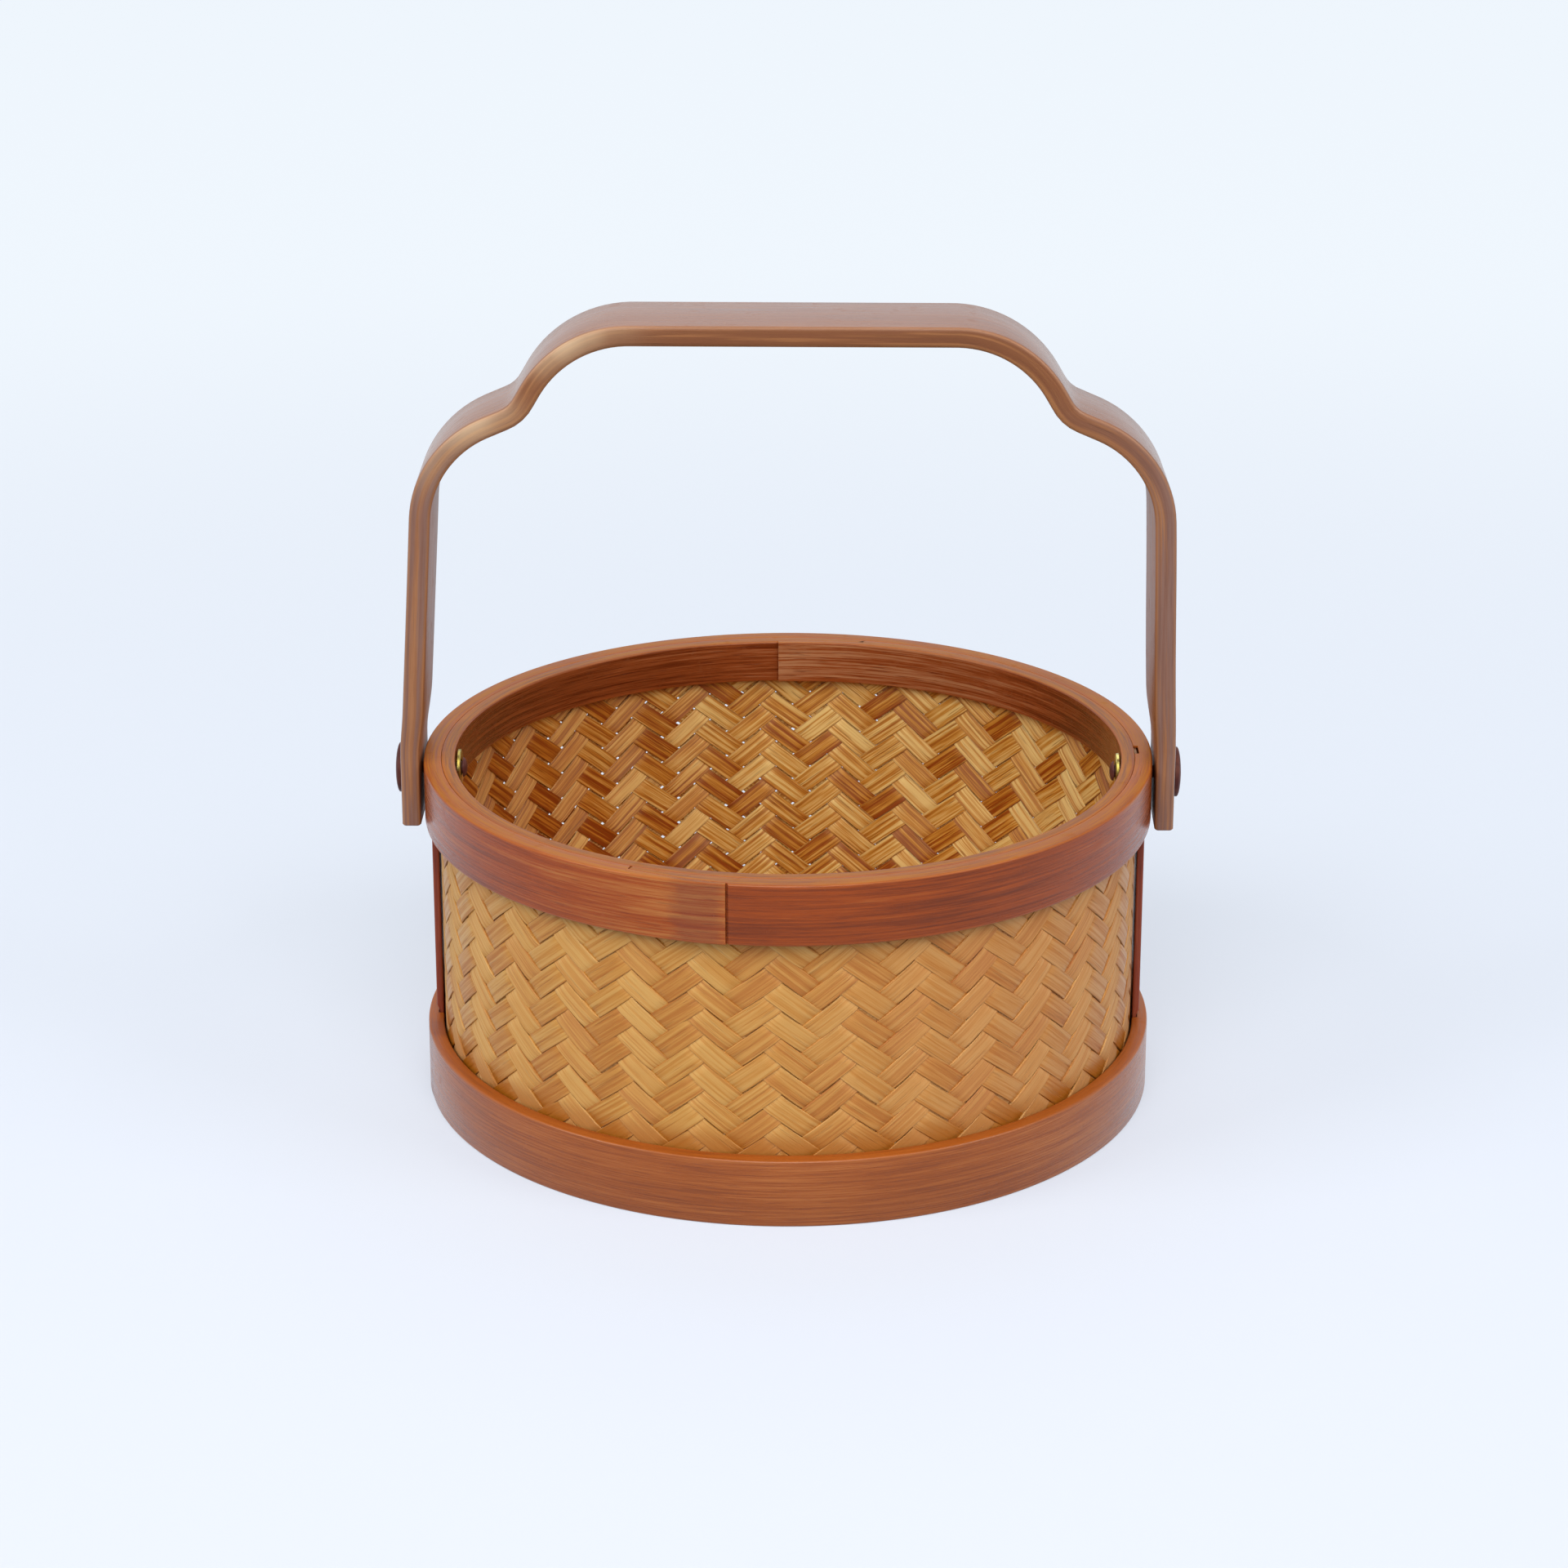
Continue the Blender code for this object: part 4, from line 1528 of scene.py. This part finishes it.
@dataclass
class Handle:
    """One strip bent at the shoulders, the notches and the top corners.

    As hand-bent handles do, its top stands a little to one side and its legs lean in and are
    turned a little, each in its own measure. Above the rim the strip is slightly fuller.
    """

    material: Material
    thickness: float = 3.6 * MM
    width: float = 18 * MM
    pivot: float = PIVOT_HEIGHT
    leg_middle: float = 72.1 * MM
    rises: tuple[float, ...] = (88.2 * MM, 73.0 * MM, 65.3 * MM, 7.0 * MM, -8.8 * MM)
    insets: tuple[float, ...] = (29.8 * MM, 21.0 * MM, 3.2 * MM, 0.0, 0.0)
    radii: tuple[float, ...] = (21.4 * MM, 7.5 * MM, 20.7 * MM, 30.0 * MM)
    edge_round: float = 0.8 * MM
    end_round: float = 0.25 * MM
    step: float = 1.4 * MM
    rack: float = 0.8 * MM
    thicker: float = 0.4 * MM
    wider: float = 0.9 * MM
    fuller_from: Span = (67 * MM, 78 * MM)
    inward: float = 0.1             # share of the added thickness by which it moves inwards
    racked_from: Span = (71 * MM, 123 * MM)
    lean_until: Span = (76 * MM, 122 * MM)
    leans: Span = (0.5 * MM, 0.3 * MM)
    turns: Span = (math.radians(0.2), math.radians(2.2))
    # The rises between 0.25 and 0.45 of the length, at the left shoulder and the left top bend, place the
    # painted highlight on the cut faces and edges, and lighten the strip there.
    tones: Rows = (
        (0.0, 0.5), (0.2, 0.51), (0.25, 0.58), (0.28, 0.64), (0.3, 0.59), (0.325, 0.54), (0.345, 0.6),
        (0.36, 0.66), (0.375, 0.62), (0.39, 0.575), (0.42, 0.535), (0.45, 0.5), (1.0, 0.5))

    def make(self) -> None:
        """Build the handle."""
        right = [(self.leg_middle - inset, self.pivot + rise)
                 for inset, rise in zip(self.insets, self.rises)]
        corners = [Vector((-x, z)) for x, z in reversed(right)] + [Vector(corner) for corner in right]
        path = Path(corners, self.radii[::-1] + self.radii)
        count = round(path.length / self.step)
        marks = [path.length * step / count for step in range(1, count)]
        bm = straight_strip(path.length, self.thickness, self.width, self.edge_round, marks, 4,
                            end_round=self.end_round)
        mark_growth(bm, [], path.length, self.tones)
        for vertex in bm.verts:
            point, heading = path.at(vertex.co.x)
            end, side = (0, 1) if vertex.co.x < path.length / 2 else (1, -1)
            free = smoothstep(*self.fuller_from, point.y)
            lift = vertex.co.y + free * self.thicker * (vertex.co.y / self.thickness - self.inward)
            lift -= free * vertex.co.z * math.sin(self.turns[end]) * abs(heading.y)
            across = vertex.co.z * (1 + free * self.wider / self.width)
            aside = self.rack * smoothstep(*self.racked_from, point.y)
            aside += side * self.leans[end] * free * (1 - smoothstep(*self.lean_until, point.y))
            point = point + Vector((-heading.y, heading.x)) * lift
            vertex.co = (point.x + aside, across, point.y)
        Piece("dressed_handle", Body.HANDLE, Slot.HANDLE, self.material, ("handle",)).finish_strip(bm)


@dataclass
class SideSlat:
    """A flat upright strip under one pivot, pared thinner where it goes behind the hoops."""

    side: Side
    material: Material
    inner: float
    shoulders: Span
    thickness: float = 1.3 * MM
    tongue: float = 0.8 * MM
    ramp: float = 1.2 * MM
    edge_round: float = 0.3 * MM
    steps: int = 40

    def make(self) -> None:
        """Build the slat."""
        node = f"side_slat_{self.side.name.lower()}"
        low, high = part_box(node)
        ramps = (self.shoulders[0] + self.ramp, self.shoulders[1] - self.ramp)
        length = high.z - low.z
        even = [low.z + length * step / self.steps for step in range(1, self.steps)]
        marks = sorted({*even, *self.shoulders, *ramps})
        bm = straight_strip(length, self.thickness, high.y - low.y, self.edge_round,
                            [mark - low.z for mark in marks], 3)
        mark_growth(bm, [], length)
        for vertex in bm.verts:
            height = vertex.co.x + low.z
            into = max(ramps[0] - height, height - ramps[1], 0.0) / self.ramp
            thickness = self.thickness + (self.tongue - self.thickness) * min(1.0, into)
            out = self.inner + (vertex.co.y / self.thickness + 0.5) * thickness
            vertex.co = (self.side.value * out, vertex.co.z, height)
        Piece(f"dressed_{node}", Body.BASKET, Slot.HOOP, self.material, (node,)).finish_strip(bm)


# Rivets


@dataclass
class Pivot:
    """One rivet: a low button head outside the leg, a washer and a peened tail inside."""

    side: Side
    rivet: Material
    brass: Material
    height: float = PIVOT_HEIGHT
    shank: float = 1.2 * MM
    head: float = 4.8 * MM
    head_height: float = 1.4 * MM
    head_edge: float = 0.6 * MM
    head_chamfer: float = 0.12 * MM
    tail: float = 1.9 * MM
    washer: float = 3.5 * MM
    washer_thickness: float = 0.6 * MM
    segments: int = 72
    steps: int = 10

    def _dome(self, radius: float, rise: float, foot: float) -> list[Span]:
        """Return profile points from the top of a low dome to its edge."""
        turns = [math.pi / 2 * step / self.steps for step in range(self.steps + 1)]
        return [(radius * math.sin(turn), foot + rise * math.cos(turn)) for turn in turns]

    def _turned(self, profile: Rows, closed: bool) -> Mesh:
        """Turn a profile of radius and height into a piece about X, at the pivot's height.

        Args:
            profile: Points of radius and distance from the middle.
            closed: Whether the last point joins the first.

        Returns:
            The turned mesh.
        """
        bm = bmesh.new()
        verts = [bm.verts.new((radius, 0, height)) for radius, height in profile]
        edges = [bm.edges.new(pair) for pair in zip(verts, verts[1:])]
        if closed:
            edges.append(bm.edges.new((verts[-1], verts[0])))
        bmesh.ops.spin(bm, geom=verts + edges, axis=(0, 0, 1), cent=(0, 0, 0),
                       angle=2 * math.pi, steps=self.segments, use_merge=True)
        bmesh.ops.remove_doubles(bm, verts=bm.verts, dist=NEAR)
        bmesh.ops.rotate(bm, cent=(0, 0, 0), verts=bm.verts,
                         matrix=Matrix.Rotation(self.side.value * math.pi / 2, 3, "Y"))
        bmesh.ops.translate(bm, vec=(0, 0, self.height), verts=bm.verts)
        face_outward(bm)
        return bm

    def make(self) -> None:
        """Build the rivet and its washer where the frame has them."""
        name = self.side.name.lower()
        low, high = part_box(f"pivot_rivet_{name}")
        reach = sorted((abs(low.x), abs(high.x)))
        seat = reach[1] - self.head_height
        washer_low, washer_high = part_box(f"rivet_washer_{name}")
        washer = sorted((abs(washer_low.x), abs(washer_high.x)))
        tail_seat = washer[0] - CLEARANCE
        head = self._dome(self.head, self.head_height - self.head_edge, seat + self.head_edge)
        tail = [(radius, 2 * tail_seat - height)
                for radius, height in self._dome(self.tail, tail_seat - reach[0], tail_seat)]
        skirt = [(self.head, seat + self.head_chamfer), (self.head - self.head_chamfer, seat),
                 (self.shank, seat), (self.shank, tail_seat)]
        Piece(f"dressed_rivet_{name}", Body.BASKET, Slot.RIVET, self.rivet,
              (f"pivot_rivet_{name}",)).finish(self._turned(head + skirt + tail[::-1], False))
        inside, face = washer
        bore, chamfer = self.shank + CLEARANCE, self.washer_thickness / 3
        ring = [(self.washer, face), (self.washer, inside + chamfer),
                (self.washer - chamfer / 2, inside + chamfer / 4), (self.washer - chamfer, inside),
                (bore + chamfer / 2, inside), (bore, inside + chamfer / 2), (bore, face)]
        Piece(f"dressed_washer_{name}", Body.BASKET, Slot.BRASS, self.brass,
              (f"rivet_washer_{name}",)).finish(self._turned(ring, True))


# Studio


@dataclass(frozen=True)
class Lamp:
    """A soft square lamp that looks at a point."""

    name: str
    place: tuple[float, float, float]
    size: float
    power: float
    aim: tuple[float, float, float] = (0.0, 0.0, 0.06)

    def make(self) -> None:
        """Put the lamp in the scene."""
        data = bpy.data.lights.new(self.name, "AREA")
        data.shape = "SQUARE"
        data.size = self.size
        data.energy = self.power
        item = show(self.name, data)
        item.location = self.place
        sight = Vector(self.aim) - Vector(self.place)
        item.rotation_euler = sight.to_track_quat("-Z", "Y").to_euler()


@dataclass
class Studio:
    """Camera, lamps, world and paper floor, set as in the photograph."""

    paper: Material
    distance: float = 780.8 * MM
    eye_height: float = 355.9 * MM
    aside: float = -0.77 * MM
    pitch: float = math.radians(20.76)
    azimuth: float = math.radians(1.0)
    lens: float = 99.27
    surround: Colour = srgb(238, 245, 253)
    room_light: float = 0.32        # strength of the room as a light
    room_seen: float = 1.0          # and as seen or mirrored
    paper_half: float = 4.0
    paper_flat: float = 2.4         # how far back the paper lies flat
    paper_curve: float = 0.9        # rise behind that, per square metre of distance
    paper_divisions: tuple[int, int] = (8, 48)
    lamps: tuple[Lamp, ...] = (
        Lamp("front_box", (0.0, -1.2, 1.25), 1.3, 23.5),
        Lamp("back_box", (0.0, 1.0, 1.45), 1.2, 6.0),
        Lamp("left_box", (-1.35, -0.6, 1.1), 0.8, 12.4),
        Lamp("right_box", (1.35, -0.6, 1.1), 0.8, 10.0),
    )

    def _camera(self) -> None:
        """Put the camera where the photograph was taken from."""
        data = bpy.data.cameras.new("photograph")
        data.lens = self.lens
        data.sensor_width = 36.0
        data.clip_start, data.clip_end = 0.02, 20.0
        item = show("photograph", data)
        turn = Matrix.Rotation(self.azimuth, 3, "Z")
        item.location = turn @ Vector((self.aside, -self.distance, self.eye_height))
        item.rotation_euler = (math.pi / 2 - self.pitch, 0.0, self.azimuth)
        bpy.context.scene.camera = item

    def _world(self) -> None:
        """Light the room evenly, and show gloss a bright room."""
        world = bpy.data.worlds.new("room")
        world.use_nodes = True
        sheet = NodeSheet(world.node_tree)
        background = world.node_tree.nodes["Background"]
        sheet.feed(background.inputs["Color"], self.surround)
        sheet.feed(background.inputs["Strength"], sheet.math(
            "ADD", sheet.times(sheet.seen(), self.room_seen - self.room_light), self.room_light))
        bpy.context.scene.world = world

    def _floor(self) -> None:
        """Lay the paper and curve it up far behind the basket."""
        bm = bmesh.new()
        across, along = self.paper_divisions
        bmesh.ops.create_grid(bm, x_segments=across, y_segments=along, size=self.paper_half)
        for vertex in bm.verts:
            vertex.co.z = self.paper_curve * max(0.0, vertex.co.y - self.paper_flat) ** 2
        item = show("paper_floor", smooth_mesh("paper_floor", bm, self.paper))

    def make(self) -> None:
        """Set up the studio."""
        self._camera()
        self._world()
        self._floor()
        for lamp in self.lamps:
            lamp.make()
        bpy.context.scene.view_settings.view_transform = "Standard"
        log.info("studio: %d lamps", len(self.lamps))


# The basket


RIM_BAMBOO = BambooFinish(
    name="rim_bamboo", dark=srgb(96, 32, 4), middle=srgb(152, 64, 10), light=srgb(188, 124, 64),
    edge=srgb(162, 78, 24), thickness=2.5 * MM, width=11.8 * MM, cut=srgb(162, 98, 24),
    cut_share=0.95, cut_grain=0.3, gloss_tint=srgb(255, 236, 208), coat=0.2)
LINER_BAMBOO = replace(
    RIM_BAMBOO, name="liner_bamboo", dark=srgb(90, 31, 7), middle=srgb(142, 69, 30),
    light=srgb(184, 132, 92), thickness=1.8 * MM, width=8.6 * MM, thread_share=0.5, crack_share=0.6)
FOOT_BAMBOO = replace(
    RIM_BAMBOO, name="foot_bamboo", middle=srgb(148, 73, 19), edge=srgb(154, 80, 22),
    light=srgb(182, 110, 54), thickness=3.0 * MM, width=13.2 * MM, cut=srgb(158, 80, 18), gloss=0.42,
    coat=0.35)
BASE_BAMBOO = replace(FOOT_BAMBOO, name="base_hoop_bamboo", thickness=2.0 * MM, width=6.0 * MM)
# On the handle the light edge colour is a painted highlight along its rounded edges, and the highlight
# share paints a highlight on the cut faces at the bends.
HANDLE_BAMBOO = BambooFinish(
    name="handle_bamboo", dark=srgb(84, 42, 18), middle=srgb(130, 74, 38), light=srgb(166, 106, 58),
    edge=srgb(188, 138, 98), thickness=3.6 * MM, width=18 * MM, cut=srgb(112, 66, 34), cut_share=0.72,
    low_cut=srgb(122, 97, 90), cut_line=srgb(168, 114, 66), cut_line_share=0.7, painted_highlight_share=0.55,
    skin=srgb(124, 75, 44), skin_share=0.5, smooth=0.26, rough=0.40, gloss=0.35, coat=0.5,
    fineness=1.2, back_rough=0.1)
SLAT_BAMBOO = BambooFinish(
    name="slat_bamboo", dark=srgb(80, 28, 16), middle=srgb(126, 52, 32), light=srgb(160, 84, 54),
    edge=srgb(150, 72, 48), thickness=1.3 * MM, width=8 * MM, edge_reach=0.5 * MM)
CROSS_BAMBOO = replace(SLAT_BAMBOO, thickness=1.8 * MM)


class Basket:
    """The whole basket: makes the finishes and builds each sub-assembly with them."""

    def __init__(self) -> None:
        """Make every finish."""
        self.effects = Effects()
        self.splint = SplintFinish().make(self.effects)
        self.bent = HANDLE_BAMBOO.make(self.effects)
        self.slat = SLAT_BAMBOO.make(self.effects)
        self.brass = BrassFinish().make(self.effects)
        self.rivet = RivetFinish().make(self.effects)

    def hoop(self, node: str, joint: float, finish: BambooFinish, **details: object) -> None:
        """Build one hoop where the frame has it.

        Args:
            node: The hoop's node in the frame.
            joint: Angle of its lapped joint, in degrees.
            finish: Its finish, which also has its thickness.
            details: What else is particular to it.
        """
        low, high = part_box(node)
        Hoop(node, high.x - finish.thickness, finish.thickness, low.z, high.z - low.z,
             math.radians(joint), finish.make(self.effects), **details).make()

    def hoops(self) -> None:
        """Build the four hoops."""
        self.hoop("rim_hoop", 262, RIM_BAMBOO, nodes=(math.radians(257.5),), pocket_depth=1.1 * MM,
                  lip=0.84 * MM, slot=(-1.3 * MM, 3.1 * MM),
                  # the lighter stretch at 0.28 of the strip, on the rim's right, is partly its own tone
                  # and partly painted sheen
                  tones=((0.0, 0.28), (0.08, 0.30), (0.28, 0.46), (0.7, 0.40), (0.86, 0.40), (1.0, 0.62)))
        self.hoop("rim_liner", 93, LINER_BAMBOO, lap_inside=True, proud=0.5 * MM,
                  fade=math.radians(24), lip=0.77 * MM,
                  tones=((0.0, 0.36), (0.08, 0.34), (0.25, 0.14), (0.8, 0.22), (0.9, 0.46), (1.0, 0.64)))
        self.hoop("foot_hoop", 75, FOOT_BAMBOO, nodes=(math.radians(190),), pocket_depth=1.1 * MM)
        self.hoop("base_hoop", 135, BASE_BAMBOO)

    def carried_over(self) -> None:
        """Dress the two base slats, whose CAD shape is shown as it is."""
        for node, quarter in (("base_slat_lengthwise", 0), ("base_slat_crosswise", 1)):
            low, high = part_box(node)
            sheet = FinishSheet(f"{node}_bamboo", self.effects)
            place = sheet.add("Mapping", vector_type="POINT")
            place.inputs["Rotation"].default_value = (-math.pi / 2, -quarter * math.pi / 2, 0)
            place.inputs["Location"].default_value = (0, -(low.z + high.z) / 2, 0)
            sheet.feed(place.inputs["Vector"], sheet.add("TexCoord").outputs["Object"])
            CROSS_BAMBOO.dress(sheet, place.outputs[0], 0.0, 0.5)
            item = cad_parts[node]
            item.data.materials.clear()
            item.data.materials.append(sheet.material)
            log.info("%s: dressed as it is", node)

    def make(self) -> None:
        """Build the basket piece by piece."""
        WovenWall(self.splint).make()
        BaseMat(self.splint).make()
        self.hoops()
        rim_low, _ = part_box("rim_hoop")
        _, foot_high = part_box("foot_hoop")
        _, wall_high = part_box("woven_wall")
        shoulders = (foot_high.z + CLEARANCE, rim_low.z - CLEARANCE)
        for side in Side:
            SideSlat(side, self.slat, wall_high.x + CLEARANCE, shoulders).make()
            Pivot(side, self.rivet, self.brass).make()
        Handle(self.bent).make()
        self.carried_over()


def main() -> None:
    """Build the basket and its studio."""
    logging.basicConfig(level=logging.INFO, format="%(name)s: %(message)s")
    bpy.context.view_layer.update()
    basket = Basket()
    basket.make()
    Studio(BackdropFinish().make(basket.effects)).make()


if __name__ == "__main__":
    main()
